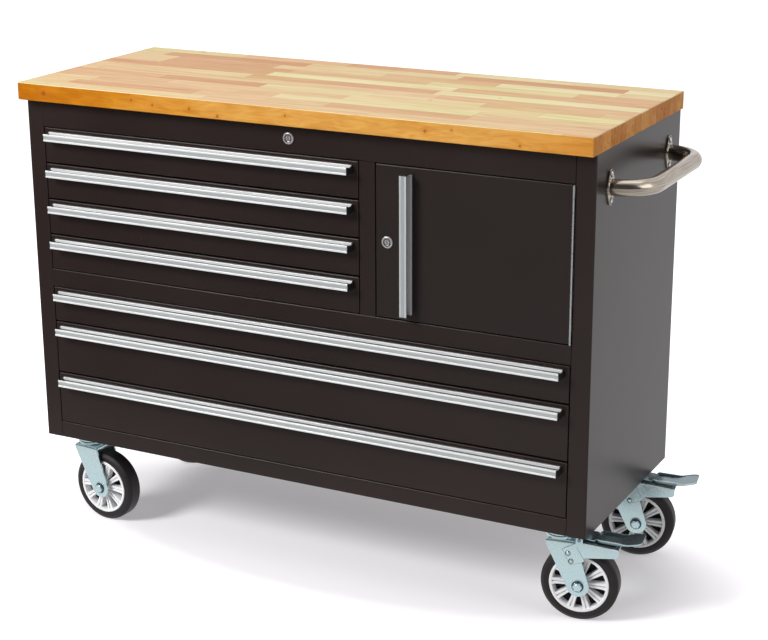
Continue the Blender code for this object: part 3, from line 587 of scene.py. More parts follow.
class Graph:
    """Short calls for wiring a material's nodes."""

    def __init__(self, name: str) -> None:
        """Start a material with its Principled shader."""
        self.material = bpy.data.materials.new(name)
        self.material.use_nodes = True
        self.tree = self.material.node_tree
        self.shader = self.tree.nodes["Principled BSDF"]

    def feed(self, socket: bpy.types.NodeSocket, value: object) -> None:
        """Link an output to a socket, or set its value."""
        if isinstance(value, bpy.types.NodeSocket):
            self.tree.links.new(value, socket)
        elif isinstance(value, tuple) and socket.type == "RGBA":
            socket.default_value = (*value, 1.0)
        else:
            socket.default_value = value

    def add(self, kind: str, *feeds: object, **settings: object) -> bpy.types.Node:
        """Add a node whose first inputs get the values in order."""
        node = self.tree.nodes.new(kind)
        for key, value in settings.items():
            setattr(node, key, value)
        for socket, value in zip(node.inputs, feeds):
            if value is not None:
                self.feed(socket, value)
        return node

    def space(self, scale: Spot = (1, 1, 1), turn: Spot = (0, 0, 0),
              shift: Spot = (0, 0, 0)) -> bpy.types.NodeSocket:
        """Object coordinates, scaled, turned and shifted."""
        source = self.add("ShaderNodeTexCoord").outputs["Object"]
        return self.add("ShaderNodeMapping", source, tuple(shift), tuple(turn),
                        tuple(scale)).outputs[0]

    def noise(self, where: bpy.types.NodeSocket, scale: float, detail: float = 3.0,
              roughness: float = 0.5, distortion: float = 0.0) -> bpy.types.NodeSocket:
        """Soft noise between 0 and 1."""
        node = self.add("ShaderNodeTexNoise")
        self.feed(node.inputs["Vector"], where)
        for label, value in (("Scale", scale), ("Detail", detail), ("Roughness", roughness),
                             ("Distortion", distortion)):
            self.feed(node.inputs[label], value)
        return node.outputs[0]

    def cells(self, where: bpy.types.NodeSocket, scale: float) -> bpy.types.NodeSocket:
        """Distance from the middle of each cell."""
        node = self.add("ShaderNodeTexVoronoi")
        self.feed(node.inputs["Vector"], where)
        self.feed(node.inputs["Scale"], scale)
        return node.outputs["Distance"]

    def dice(self, where: bpy.types.NodeSocket) -> bpy.types.NodeSocket:
        """A fixed random number for each whole-numbered place."""
        node = self.add("ShaderNodeTexWhiteNoise", noise_dimensions="3D")
        self.feed(node.inputs["Vector"], where)
        return node.outputs["Value"]

    def math(self, operation: str, first: object, second: object = 0.0,
             third: object = 0.0) -> bpy.types.NodeSocket:
        """One step of arithmetic."""
        return self.add("ShaderNodeMath", first, second, third, operation=operation).outputs[0]

    def spread(self, value: object, low: float, high: float, to_low: float,
               to_high: float) -> bpy.types.NodeSocket:
        """Map a range onto another and hold it there."""
        return self.add("ShaderNodeMapRange", value, low, high, to_low, to_high).outputs[0]

    def ramp(self, value: bpy.types.NodeSocket,
             stops: Sequence[tuple[float, Colour]]) -> bpy.types.NodeSocket:
        """Colours along a value."""
        node = self.add("ShaderNodeValToRGB", value)
        band = node.color_ramp
        while len(band.elements) < len(stops):
            band.elements.new(0.5)
        for element, (place, colour) in zip(band.elements, stops):
            element.position = place
            element.color = (*colour, 1.0)
        return node.outputs[0]

    def blend(self, share: object, first: object, second: object,
              kind: str = "MIX") -> bpy.types.NodeSocket:
        """Mix two colours."""
        node = self.add("ShaderNodeMix", data_type="RGBA", blend_type=kind)
        self.feed(node.inputs[0], share)
        self.feed(node.inputs[6], first)
        self.feed(node.inputs[7], second)
        return node.outputs[2]

    def vector(self, x: object, y: object, z: object) -> bpy.types.NodeSocket:
        """Put three numbers together."""
        return self.add("ShaderNodeCombineXYZ", x, y, z).outputs[0]

    def relief(self, height: bpy.types.NodeSocket, strength: float, depth: float,
               under: bpy.types.NodeSocket | None = None) -> bpy.types.NodeSocket:
        """A bump of a stated depth."""
        node = self.add("ShaderNodeBump")
        for label, value in (("Strength", strength), ("Distance", depth), ("Height", height)):
            self.feed(node.inputs[label], value)
        if under:
            self.feed(node.inputs["Normal"], under)
        return node.outputs[0]

    def paint(self, **values: object) -> bpy.types.Material:
        """Set the shader's inputs and give back the material.

        Args:
            values: Input labels with underscores for spaces, and what each gets.

        Returns:
            The material.
        """
        for label, value in values.items():
            self.feed(self.shader.inputs[label.replace("_", " ")], value)
        return self.material


class Finish:
    """A surface that is wired once and then shared by its pieces."""

    name: str

    def material(self) -> bpy.types.Material:
        """Give the material, wired on first use."""
        return bpy.data.materials.get(self.name) or self.wire(Graph(self.name))

    def wire(self, graph: Graph) -> bpy.types.Material:
        """Wire the nodes. Each finish has its own."""
        raise NotImplementedError


@dataclass(frozen=True)
class PowderCoat(Finish):
    """Satin powder coat on sheet steel, with faint orange peel."""

    name: str = "black_powder_coat"
    colour: Colour = tone(40, 30, 28)
    gloss: float = 0.30
    specular: float = 0.25

    def wire(self, graph: Graph) -> bpy.types.Material:
        """Wire the nodes."""
        place = graph.space()
        cloud = graph.noise(place, 2.6, 3)
        fine = graph.noise(place, 950, 2)
        peel = graph.noise(place, 420, 2, 0.6)
        dark = tuple(channel * 0.86 for channel in self.colour)
        pale = tuple(channel * 1.14 for channel in self.colour)
        base = graph.blend(graph.spread(cloud, 0.3, 0.7, 0, 1), dark, pale)
        speck = graph.spread(fine, 0.66, 0.76, 0, 0.5)
        base = graph.blend(speck, base, tuple(channel * 1.9 for channel in self.colour))
        rough = graph.spread(cloud, 0.3, 0.7, self.gloss - 0.02, self.gloss + 0.03)
        normal = graph.relief(peel, 0.18, 0.0001)
        return graph.paint(Base_Color=base, Roughness=rough, Normal=normal,
                           Specular_IOR_Level=self.specular)


class BoardFace(Enum):
    """Which way a face of the worktop looks."""

    TOP = 0
    LONG_EDGE = 1
    END_GRAIN = 2


@dataclass(frozen=True)
class ButcherBlock(Finish):
    """Oiled hardwood glued up from staves."""

    name: str
    face: BoardFace
    stave_width: float = 0.040
    stave_length: float = 0.33
    glue_line: float = 0.0005

    def wire(self, graph: Graph) -> bpy.types.Material:
        """Wire the nodes."""
        place = graph.add("ShaderNodeTexCoord").outputs["Object"]
        x, y, z = graph.add("ShaderNodeSeparateXYZ", place).outputs
        if self.face is BoardFace.TOP:
            wood, grain = self.top(graph, x, y)
        elif self.face is BoardFace.LONG_EDGE:
            wood, grain = self.long_edge(graph, x, z)
        else:
            wood, grain = self.end_grain(graph, y, z)
        wood = self.knotted(graph, wood, place)
        shine = 0.35 if self.face is BoardFace.TOP else 0.06
        rough = graph.spread(grain, 0.3, 0.7, 0.36, 0.50)
        fleck = graph.noise(graph.space((0.1, 1, 1)), 620, 3, 0.6)
        normal = graph.relief(fleck, 0.18, 0.0002)
        return graph.paint(Base_Color=wood, Roughness=rough, Normal=normal,
                           Specular_IOR_Level=shine)

    def top(self, graph: Graph, x: object, y: object) -> tuple[object, object]:
        """Staves in rows, each with its own tone, streaks and slow drift of hue.

        Args:
            graph: The material's graph.
            x: Place along the board.
            y: Place across it.

        Returns:
            The colour and the grain.
        """
        row = graph.math("FLOOR", graph.math("DIVIDE", y, self.stave_width))
        shift = graph.dice(graph.vector(row, 3.7, 1.3))
        pace = graph.spread(graph.dice(graph.vector(row, 6.1, 2.2)), 0.0, 1.0, 0.72, 1.5)
        run = graph.math("MULTIPLY", graph.math("DIVIDE", x, self.stave_length), pace)
        run = graph.math("ADD", run, graph.math("MULTIPLY", shift, 7.0))
        stave = graph.math("FLOOR", run)
        luck = graph.dice(graph.vector(row, stave, 5.1))
        second = graph.dice(graph.vector(row, stave, 9.4))
        third = graph.dice(graph.vector(row, stave, 14.8))
        base = graph.ramp(luck, (
            (0.0, tone(210, 152, 94)), (0.14, tone(224, 176, 122)), (0.36, tone(230, 194, 143)),
            (0.60, tone(233, 206, 150)), (0.84, tone(231, 213, 154)), (1.0, tone(241, 227, 175))))
        offset = graph.math("MULTIPLY", second, 17.0)
        across = graph.math("ADD", y, offset)
        lane = graph.vector(graph.math("MULTIPLY", x, 0.075), across, offset)
        grain = graph.noise(lane, 75, 6, 0.62, 0.9)
        wood = graph.blend(graph.spread(grain, 0.40, 0.72, 0.0, 0.60), base,
                           graph.blend(1.0, base, (0.76, 0.60, 0.44), "MULTIPLY"))
        streak = graph.noise(graph.vector(graph.math("MULTIPLY", x, 0.05), across, 4.0),
                             130, 4, 0.6, 0.6)
        streak = graph.math("MULTIPLY", graph.spread(streak, 0.56, 0.72, 0.0, 0.85),
                            graph.spread(third, 0.35, 0.9, 0.12, 1.0))
        wood = graph.blend(streak, wood, graph.blend(1.0, base, (0.62, 0.42, 0.28), "MULTIPLY"))
        drift = graph.noise(graph.vector(graph.math("MULTIPLY", x, 0.45), y, 1.0), 4.2, 2)
        wood = graph.blend(graph.spread(drift, 0.52, 0.70, 0.0, 1.0), wood,
                           graph.blend(1.0, wood, (0.99, 0.91, 0.82), "MULTIPLY"))
        wood = graph.blend(graph.spread(drift, 0.48, 0.32, 0.0, 1.0), wood,
                           graph.blend(1.0, wood, (0.97, 1.04, 0.90), "MULTIPLY"))
        seam = graph.math("PINGPONG", graph.math("DIVIDE", y, self.stave_width), 0.5)
        seam = graph.math("MULTIPLY", seam, self.stave_width)
        ends = graph.math("MULTIPLY", graph.math("PINGPONG", run, 0.5), self.stave_length)
        seam = graph.math("MINIMUM", seam, ends)
        joint = graph.spread(seam, self.glue_line * 0.4, self.glue_line * 1.6, 0.30, 0.0)
        return graph.blend(joint, wood, tone(150, 96, 50)), grain

    def long_edge(self, graph: Graph, x: object, z: object) -> tuple[object, object]:
        """One long stave that turns from amber to honey along the board.

        Args:
            graph: The material's graph.
            x: Place along the board.
            z: Height.

        Returns:
            The colour and the grain.
        """
        cloud = graph.noise(graph.vector(graph.math("MULTIPLY", x, 0.5), z, 2.0), 14, 3)
        along = graph.math("ADD", graph.spread(x, -0.65, 0.57, 0.0, 0.92),
                           graph.math("MULTIPLY", graph.math("SUBTRACT", cloud, 0.46), 0.5))
        base = graph.ramp(along, (
            (0.0, tone(184, 110, 10)), (0.22, tone(202, 134, 34)), (0.42, tone(216, 160, 78)),
            (0.72, tone(222, 166, 84)), (1.0, tone(217, 152, 66))))
        wave = graph.noise(graph.vector(graph.math("MULTIPLY", x, 0.2), z, 3.0), 60, 5, 0.6, 1.4)
        wood = graph.blend(graph.spread(wave, 0.40, 0.66, 0.0, 0.8), base,
                           graph.blend(1.0, base, (0.80, 0.66, 0.46), "MULTIPLY"))
        fine = graph.noise(graph.vector(graph.math("MULTIPLY", x, 0.04), z, 6.0), 420, 3)
        wood = graph.blend(graph.spread(fine, 0.52, 0.70, 0.0, 0.35), wood,
                           graph.blend(1.0, base, (0.70, 0.52, 0.36), "MULTIPLY"))
        return wood, wave

    def end_grain(self, graph: Graph, y: object, z: object) -> tuple[object, object]:
        """The staves' sawn ends, side by side.

        Args:
            graph: The material's graph.
            y: Place across the board.
            z: Height.

        Returns:
            The colour and the grain.
        """
        row = graph.math("FLOOR", graph.math("DIVIDE", y, self.stave_width))
        luck = graph.dice(graph.vector(row, 8.0, 2.0))
        base = graph.ramp(luck, ((0.0, tone(192, 122, 48)), (0.5, tone(209, 142, 64)),
                                 (1.0, tone(220, 158, 78))))
        offset = graph.math("MULTIPLY", graph.dice(graph.vector(row, 4.0, 6.0)), 17.0)
        lane = graph.vector(offset, graph.math("ADD", y, offset), graph.math("MULTIPLY", z, 0.7))
        grain = graph.noise(lane, 60, 5, 0.62, 1.2)
        wood = graph.blend(graph.spread(grain, 0.42, 0.68, 0.0, 0.8), base,
                           graph.blend(1.0, base, (0.76, 0.58, 0.40), "MULTIPLY"))
        return wood, grain

    def knotted(self, graph: Graph, wood: object, place: object) -> object:
        """Lay small brown knots over the wood, each with a darker core."""
        core: object = 0.0
        halo: object = 0.0
        for x, y, z, size in self.knots():
            away = graph.add("ShaderNodeVectorMath", place, (x, y, z), operation="DISTANCE")
            away = away.outputs["Value"]
            core = graph.math("MAXIMUM", core, graph.spread(away, size * 0.25, size * 0.6, 1.0, 0.0))
            halo = graph.math("MAXIMUM", halo, graph.spread(away, size * 0.3, size * 1.7, 1.0, 0.0))
        wood = graph.blend(graph.math("MULTIPLY", halo, 0.30), wood, tone(196, 112, 34))
        return graph.blend(graph.math("MULTIPLY", core, 0.62), wood, tone(132, 66, 18))

    def knots(self) -> tuple[tuple[float, float, float, float], ...]:
        """Places and sizes of the knots that this kind of face shows."""
        if self.face is BoardFace.TOP:
            top = 0.9456
            return ((-0.512, 0.226, top, 0.007), (-0.537, 0.075, top, 0.006),
                    (-0.608, 0.041, top, 0.005), (0.169, -0.056, top, 0.005),
                    (0.279, 0.019, top, 0.004))
        if self.face is BoardFace.LONG_EDGE:
            front = -0.24175
            return ((-0.589, front, 0.928, 0.011), (-0.472, front, 0.944, 0.004),
                    (-0.386, front, 0.944, 0.004), (-0.3805, front, 0.9315, 0.006),
                    (-0.332, front, 0.926, 0.006), (-0.2485, front, 0.926, 0.007),
                    (-0.186, front, 0.917, 0.007), (-0.039, front, 0.931, 0.005),
                    (0.248, front, 0.928, 0.007), (0.300, front, 0.934, 0.004),
                    (0.431, front, 0.918, 0.006))
        return ((0.567, 0.110, 0.934, 0.006), (0.567, -0.15, 0.922, 0.005))


@dataclass(frozen=True)
class ZincPlate(Finish):
    """Bright zinc on pressed steel, with its bluish cast and faint cloudy passivation."""

    name: str = "bright_zinc"
    cool: Colour = (0.50, 0.66, 0.70)
    warm: Colour = (0.60, 0.71, 0.71)
    roughness: float = 0.24
    bump: float = 0.06
    metal: float = 0.86

    def wire(self, graph: Graph) -> bpy.types.Material:
        """Wire the nodes."""
        place = graph.space()
        cloud = graph.noise(place, 34, 4, 0.6, 0.6)
        spangle = graph.cells(place, 260)
        base = graph.blend(graph.spread(cloud, 0.35, 0.68, 0, 0.8), self.cool, self.warm)
        base = graph.blend(graph.spread(spangle, 0.0, 0.9, 0.0, 0.12), base,
                           tuple(channel * 0.55 for channel in self.cool))
        rough = graph.spread(cloud, 0.3, 0.7, self.roughness - 0.05, self.roughness + 0.08)
        normal = graph.relief(graph.noise(place, 120, 3), self.bump, 0.0003)
        return graph.paint(Base_Color=base, Roughness=rough, Normal=normal, Metallic=self.metal)


@dataclass(frozen=True)
class Aluminium(Finish):
    """Anodised extrusion with its faint drawing lines along the length."""

    name: str
    along: Axis
    colour: Colour = tone(246, 247, 247)
    roughness: float = 0.34

    def wire(self, graph: Graph) -> bpy.types.Material:
        """Wire the nodes."""
        scale = [900.0, 900.0, 900.0]
        scale[self.along.value] = 3.0
        lines = graph.noise(graph.space(scale), 1.0, 3, 0.6)
        cloud = graph.noise(graph.space(), 9, 2)
        dark = tuple(channel * 0.88 for channel in self.colour)
        base = graph.blend(graph.spread(lines, 0.35, 0.65, 0, 1), dark, self.colour)
        base = graph.blend(graph.spread(cloud, 0.3, 0.7, 0, 0.10), base, tone(190, 194, 200))
        rough = graph.spread(lines, 0.3, 0.7, self.roughness - 0.05, self.roughness + 0.08)
        normal = graph.relief(lines, 0.10, 0.00008)
        return graph.paint(Base_Color=base, Roughness=rough, Normal=normal, Metallic=0.30)


@dataclass(frozen=True)
class Stainless(Finish):
    """Belt-polished stainless tube: fine lines along it and a warm cast."""

    name: str = "polished_stainless"
    colour: Colour = tone(190, 180, 166)
    roughness: float = 0.17

    def wire(self, graph: Graph) -> bpy.types.Material:
        """Wire the nodes."""
        lines = graph.noise(graph.space((14, 14, 1400)), 1.0, 3, 0.6)
        cloud = graph.noise(graph.space(), 22, 3)
        dark = tuple(channel * 0.42 for channel in self.colour)
        base = graph.blend(graph.spread(lines, 0.36, 0.62, 0, 1), dark, self.colour)
        base = graph.blend(graph.spread(cloud, 0.35, 0.65, 0, 0.2), base, tone(150, 138, 122))
        rough = graph.spread(lines, 0.3, 0.7, self.roughness - 0.05, self.roughness + 0.10)
        normal = graph.relief(lines, 0.10, 0.00008)
        return graph.paint(Base_Color=base, Roughness=rough, Normal=normal, Metallic=1.0)


@dataclass(frozen=True)
class Chrome(Finish):
    """Bright chrome with the faint haze of handling."""

    name: str = "lock_bright_chrome"
    colour: Colour = tone(206, 203, 204)
    roughness: float = 0.24

    def wire(self, graph: Graph) -> bpy.types.Material:
        """Wire the nodes."""
        place = graph.space()
        haze = graph.noise(place, 190, 4, 0.6)
        base = graph.blend(graph.spread(haze, 0.45, 0.75, 0, 0.35), self.colour, tone(150, 150, 156))
        rough = graph.spread(haze, 0.3, 0.7, self.roughness - 0.03, self.roughness + 0.12)
        normal = graph.relief(graph.noise(place, 800, 2), 0.05, 0.0001)
        return graph.paint(Base_Color=base, Roughness=rough, Normal=normal, Metallic=0.72)


@dataclass(frozen=True)
class CastRim(Finish):
    """Silver lacquer on a cast wheel centre, with metallic flake."""

    name: str = "silver_lacquer_and_painted_highlight"
    colour: Colour = tone(250, 250, 251)
    roughness: float = 0.30

    def wire(self, graph: Graph) -> bpy.types.Material:
        """Wire the nodes."""
        place = graph.space()
        flake = graph.cells(place, 1500)
        cloud = graph.noise(place, 60, 3)
        base = graph.blend(graph.spread(flake, 0.1, 0.8, 0, 0.22), self.colour, tone(222, 223, 226))
        base = graph.blend(graph.spread(cloud, 0.4, 0.7, 0, 0.15), base, tone(226, 227, 229))
        rough = graph.spread(cloud, 0.3, 0.7, self.roughness - 0.05, self.roughness + 0.08)
        normal = graph.relief(graph.noise(place, 900, 2), 0.10, 0.0001)
        return graph.paint(Base_Color=base, Roughness=rough, Normal=normal, Metallic=0.08,
                           Coat_Weight=0.3, Coat_Roughness=0.15)


@dataclass(frozen=True)
class TyreRubber(Finish):
    """Black rubber with a fine moulded skin and a little dust."""

    name: str = "black_rubber"
    colour: Colour = tone(31, 27, 27)
    roughness: float = 0.52

    def wire(self, graph: Graph) -> bpy.types.Material:
        """Wire the nodes."""
        place = graph.space()
        skin = graph.noise(place, 700, 4, 0.65)
        dust = graph.noise(place, 28, 5, 0.6)
        base = graph.blend(graph.spread(dust, 0.5, 0.8, 0, 0.14), self.colour, tone(80, 76, 74))
        rough = graph.spread(skin, 0.3, 0.7, self.roughness - 0.06, self.roughness + 0.12)
        normal = graph.relief(skin, 0.30, 0.0002)
        return graph.paint(Base_Color=base, Roughness=rough, Normal=normal, Specular_IOR_Level=0.30)


@dataclass(frozen=True)
class MouldedPlastic(Finish):
    """Black moulded plastic with a fine matt grain."""

    name: str = "black_moulded_plastic"
    colour: Colour = tone(28, 27, 28)
    roughness: float = 0.42

    def wire(self, graph: Graph) -> bpy.types.Material:
        """Wire the nodes."""
        place = graph.space()
        grain = graph.noise(place, 1300, 3, 0.6)
        base = graph.blend(graph.spread(grain, 0.4, 0.7, 0, 0.3), self.colour, tone(44, 43, 45))
        rough = graph.spread(grain, 0.3, 0.7, self.roughness - 0.06, self.roughness + 0.12)
        return graph.paint(Base_Color=base, Roughness=rough, Normal=graph.relief(grain, 0.3, 0.0001))


@dataclass(frozen=True)
class StudioFloor(Finish):
    """Pale matt studio floor that keeps the shadow and shows white to the camera."""

    name: str = "pale_studio_floor"
    colour: Colour = (0.80, 0.79, 0.80)
    glow: float = 0.31
    clear: float = 1.0
    white: float = 1.6
    gloom: float = 0.12
    gleam: float = 0.75
    half_length: float = 0.62
    half_width: float = 0.27

    def wire(self, graph: Graph) -> bpy.types.Material:
        """Wire the nodes."""
        place = graph.add("ShaderNodeTexCoord").outputs["Object"]
        cloud = graph.noise(place, 0.6, 2)
        base = graph.blend(graph.spread(cloud, 0.3, 0.7, 0, 1), self.colour,
                           tuple(channel * 0.985 for channel in self.colour))
        graph.paint(Base_Color=base, Roughness=0.9, Specular_IOR_Level=0.0)
        seen = graph.add("ShaderNodeLightPath")
        shrunk = graph.space((1 / self.half_length, 1 / self.half_width, 1))
        away = graph.add("ShaderNodeVectorMath", shrunk, operation="LENGTH").outputs["Value"]
        glow = graph.spread(away, self.clear, self.white, self.glow, 1.0)
        lamp = graph.add("ShaderNodeEmission", (1.0, 0.976, 1.0))
        graph.feed(lamp.inputs["Strength"], graph.math("MULTIPLY", seen.outputs["Is Camera Ray"],
                                                       glow))
        both = graph.add("ShaderNodeAddShader", graph.shader.outputs[0], lamp.outputs[0])
        side, depth, _ = graph.add("ShaderNodeSeparateXYZ", place).outputs
        near = graph.spread(depth, -0.95, -0.5, self.gloom, 1.0)
        ahead = graph.spread(side, -1.7, 0.2, self.gloom * 0.5, self.gleam)
        mirrored = graph.add("ShaderNodeEmission", (1.0, 1.0, 1.0),
                             graph.math("MAXIMUM", near, ahead))
        mix = graph.add("ShaderNodeMixShader", seen.outputs["Is Glossy Ray"], both.outputs[0],
                        mirrored.outputs[0])
        end = graph.tree.nodes["Material Output"]
        graph.tree.links.new(mix.outputs[0], end.inputs["Surface"])
        return graph.material


CABINET_PAINT = PowderCoat("cabinet_powder_coat")
DRAWER_PAINT = PowderCoat("drawer_powder_coat", gloss=0.29)
DOOR_PAINT = PowderCoat("door_powder_coat", colour=tone(39, 31, 29), gloss=0.31)
# Black of the wheels' pockets; also the painted shade rings in the lock recesses and round the handle
# bolts.
BLACK_POCKETS_AND_PAINTED_SHADE = PowderCoat("rim_pocket_black_and_painted_shade", colour=tone(20, 19, 20), gloss=0.6, specular=0.2)
SLIDE_ZINC = ZincPlate("slide_zinc_plate", cool=(0.50, 0.53, 0.54), warm=(0.55, 0.56, 0.54),
                       roughness=0.42, bump=0.01, metal=0.55)
HINGE_STEEL = ZincPlate("hinge_bright_steel", cool=(0.46, 0.47, 0.49), warm=(0.56, 0.56, 0.56),
                        roughness=0.28)
CASTER_ZINC = ZincPlate("caster_zinc_plate")
# Near-black zinc for painted shade: rings round the brake rivets, strips along the brake tabs and the
# axle washers.
CASTER_PAINTED_SHADE = ZincPlate("caster_painted_shade_zinc", cool=(0.05, 0.09, 0.11), warm=(0.08, 0.12, 0.13))
# A darker copy of the caster zinc for the pedal: painted dark reflection.
PEDAL_PAINTED_SHADE_ZINC = ZincPlate("pedal_zinc_painted_shade", cool=(0.20, 0.28, 0.31), warm=(0.28, 0.34, 0.35))
PULL_LEVEL = Aluminium("pull_aluminium_level", Axis.X)
# Darker copies of the aluminium for the grooves: painted dark reflection.
PULL_LEVEL_GROOVE = Aluminium("pull_groove_level", Axis.X, tone(186, 191, 190))
# Dark aluminium for the painted shadow strip in the pulls' trough.
PULL_PAINTED_SHADOW = Aluminium("pull_trough_painted_shadow", Axis.X, tone(92, 94, 94))
# The door's upright pull takes darker copies of the same aluminium: painted shade.
PULL_UPRIGHT = Aluminium("pull_aluminium_upright", Axis.Z, tone(208, 211, 213))
PULL_UPRIGHT_GROOVE = Aluminium("pull_groove_upright", Axis.Z, tone(176, 181, 182))
TUBE_STEEL = Stainless()
LOCK_CHROME = Chrome()
# Silver lacquer of the wheel rims; also the painted highlight strips along the brake covers' top edges.
RIM_SILVER_AND_PAINTED_HIGHLIGHT = CastRim()
RUBBER = TyreRubber()
CAP_PLASTIC = MouldedPlastic()


# The bench


@dataclass
class Worktop:
    """The thick wooden board with its softly rounded edges."""

    edge_round: float = 0.0022
    round_steps: int = 4

    def build(self) -> None:
        """Make and dress the board."""
        low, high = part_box("worktop")
        shape = Shape()
        shape.box(low, high)
        bmesh.ops.recalc_face_normals(shape.mesh, faces=shape.mesh.faces)
        for face in shape.mesh.faces:
            facing = [abs(part) for part in face.normal]
            face.material_index = {2: 0, 1: 1, 0: 2}[facing.index(max(facing))]
        shape.bevel(self.edge_round, self.round_steps, lambda edge: True)
        shape.mesh.normal_update()
        # The upper part of each rounding keeps the pale top wood, which draws a light line along the
        # top edges: partly the top's own wood, partly a painted highlight.
        for face in shape.mesh.faces:
            if -0.98 < face.normal.z < 0.30:
                along, across, _ = face.normal
                face.material_index = 1 if abs(across) > abs(along) else 2
        finishes = [ButcherBlock("worktop_staves", BoardFace.TOP),
                    ButcherBlock("worktop_long_edge", BoardFace.LONG_EDGE),
                    ButcherBlock("worktop_end_grain", BoardFace.END_GRAIN)]
        finish_piece(shape, "worktop_board", finishes, "cabinet", ["worktop"])


@dataclass
class CabinetBody:
    """The folded sheet body: walls, stiles, back, floor, ceiling, rails and centre stile."""

    sheet: float = 0.0015
    fold: float = 0.0032
    inner_fold: float = 0.0017
    lip_fold: float = 0.0018
    recess: float = 0.0004
    stile_width: float = 0.038
    frame_return: float = 0.020

    def build(self) -> None:
        """Make and dress the skin, the rails and the carried-over inner panels."""
        self.build_skin()
        for name in ("top_rail", "mid_rail", "bottom_rail"):
            low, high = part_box(name)
            low_lip = self.recess + self.sheet + SEAT if name == "bottom_rail" else 0.0
            high_lip = self.recess + self.sheet + SEAT if name == "top_rail" else 0.0
            outline = self.channel(low.y, low.z, high.z, low_lip, high_lip)
            shape = Shape()
            shape.prism(outline, Axis.X, low.x, high.x)
            finish_piece(shape, name + "_channel", [CABINET_PAINT], "cabinet", [name])
        low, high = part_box("centre_stile")
        plan = [(x, y) for y, x in self.channel(low.y, low.x, high.x, 0.0, 0.0)]
        shape = Shape()
        shape.prism(plan, Axis.Z, low.z, high.z)
        finish_piece(shape, "centre_stile_channel", [CABINET_PAINT], "cabinet",
                     ["centre_stile"])
        dress_node("deck_panel", CABINET_PAINT, 0.0004)
        for name in ("upper_left_rack", "divider_panel", "lower_left_rack", "lower_right_rack"):
            dress_node(name, SLIDE_ZINC, 0.0003)

    def build_skin(self) -> None:
        """Make the wrapped walls with rounded outer folds, and the floor and ceiling."""
        low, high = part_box("cabinet_shell")
        middle = (low.x + high.x) / 2
        half = (high.x - low.x) / 2
        front, back = low.y, high.y
        opening = half - self.stile_width
        end = front + self.frame_return
        right = [(half, back), (half, front), (opening, front), (opening, end),
                 (opening + self.sheet, end), (opening + self.sheet, front + self.sheet),
                 (half - self.sheet, front + self.sheet), (half - self.sheet, back - self.sheet)]
        radii = [self.fold, self.fold, self.lip_fold, 0.0, 0.0, SEAT, self.inner_fold,
                 self.inner_fold]
        outline = rounded(right + [(-x, y) for x, y in reversed(right)],
                          radii + list(reversed(radii)), 6)
        shape = Shape()
        shape.prism([(middle + x, y) for x, y in outline], Axis.Z, low.z, high.z)
        inset = self.sheet / 2
        for base in (low.z + self.recess, high.z - self.recess - self.sheet):
            shape.box((low.x + inset, front + self.sheet + SEAT, base),
                      (high.x - inset, back - inset, base + self.sheet))
        finish_piece(shape, "cabinet_skin", [CABINET_PAINT], "cabinet",
                     ["cabinet_shell"])

    def channel(self, front: float, start: float, end: float, low_lip: float,
                high_lip: float) -> list[Point]:
        """Section of a rail that is open to the back.

        Args:
            front: Where its face stands.
            start: Its lower edge.
            end: Its upper edge.
            low_lip: How far its lower return stands in from that edge.
            high_lip: How far its upper return stands in.

        Returns:
            The outline as (depth, width) points.
        """
        skin = front + self.sheet
        deep = front + self.frame_return
        points: list[Point] = [(front, start)]
        radii = [self.lip_fold if not low_lip else SEAT]
        low, high = start + low_lip, end - high_lip
        if low_lip:
            points += [(skin, start), (skin, low)]
            radii += [SEAT, 0.0]
        points += [(deep, low), (deep, low + self.sheet), (skin, low + self.sheet),
                   (skin, high - self.sheet), (deep, high - self.sheet), (deep, high)]
        radii += [0.0, 0.0, SEAT, SEAT, 0.0, 0.0]
        if high_lip:
            points += [(skin, high), (skin, end)]
            radii += [0.0, SEAT]
        points.append((front, end))
        radii.append(self.lip_fold if not high_lip else SEAT)
        return rounded(points, radii, 4)


def dress_node(name: str, finish: Finish, edge: float) -> None:
    """Give a carried-over solid its finish and softly broken edges.

    Args:
        name: The solid.
        finish: Its finish.
        edge: Width of its broken edges.
    """
    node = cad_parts[name]
    for slot in node.material_slots:
        slot.material = finish.material()
    if edge:
        node.modifiers.new("merge", "WELD").merge_threshold = 0.00001
        rounding = node.modifiers.new("edges", "BEVEL")
        rounding.width = edge
        rounding.segments = 1
        rounding.limit_method = "ANGLE"
        rounding.angle_limit = math.radians(SHARP)
    log.info("%s: carried over in %s", name, finish.name)


def fold_profile(front: float, depth: float, wall: float, fold: float,
                 steps: int = 4) -> list[Point]:
    """Profile of a folded pan from its inner floor over the rim to its face.

    Args:
        front: Where its face stands.
        depth: How deep it is.
        wall: Its sheet.
        fold: Outer radius of the fold.
        steps: Chords in the fold.

    Returns:
        (inset, depth) pairs.
    """
    inner = max(fold - wall, SEAT)
    rim = front + depth
    profile = [(fold - inset, front + height)
               for inset, height in arc((0, fold), inner, -90, 0, steps)]
    profile += [(wall, rim), (0.0, rim)]
    profile += [(fold - inset, front + height)
                for inset, height in arc((0, fold), fold, 0, -90, steps)]
    return profile


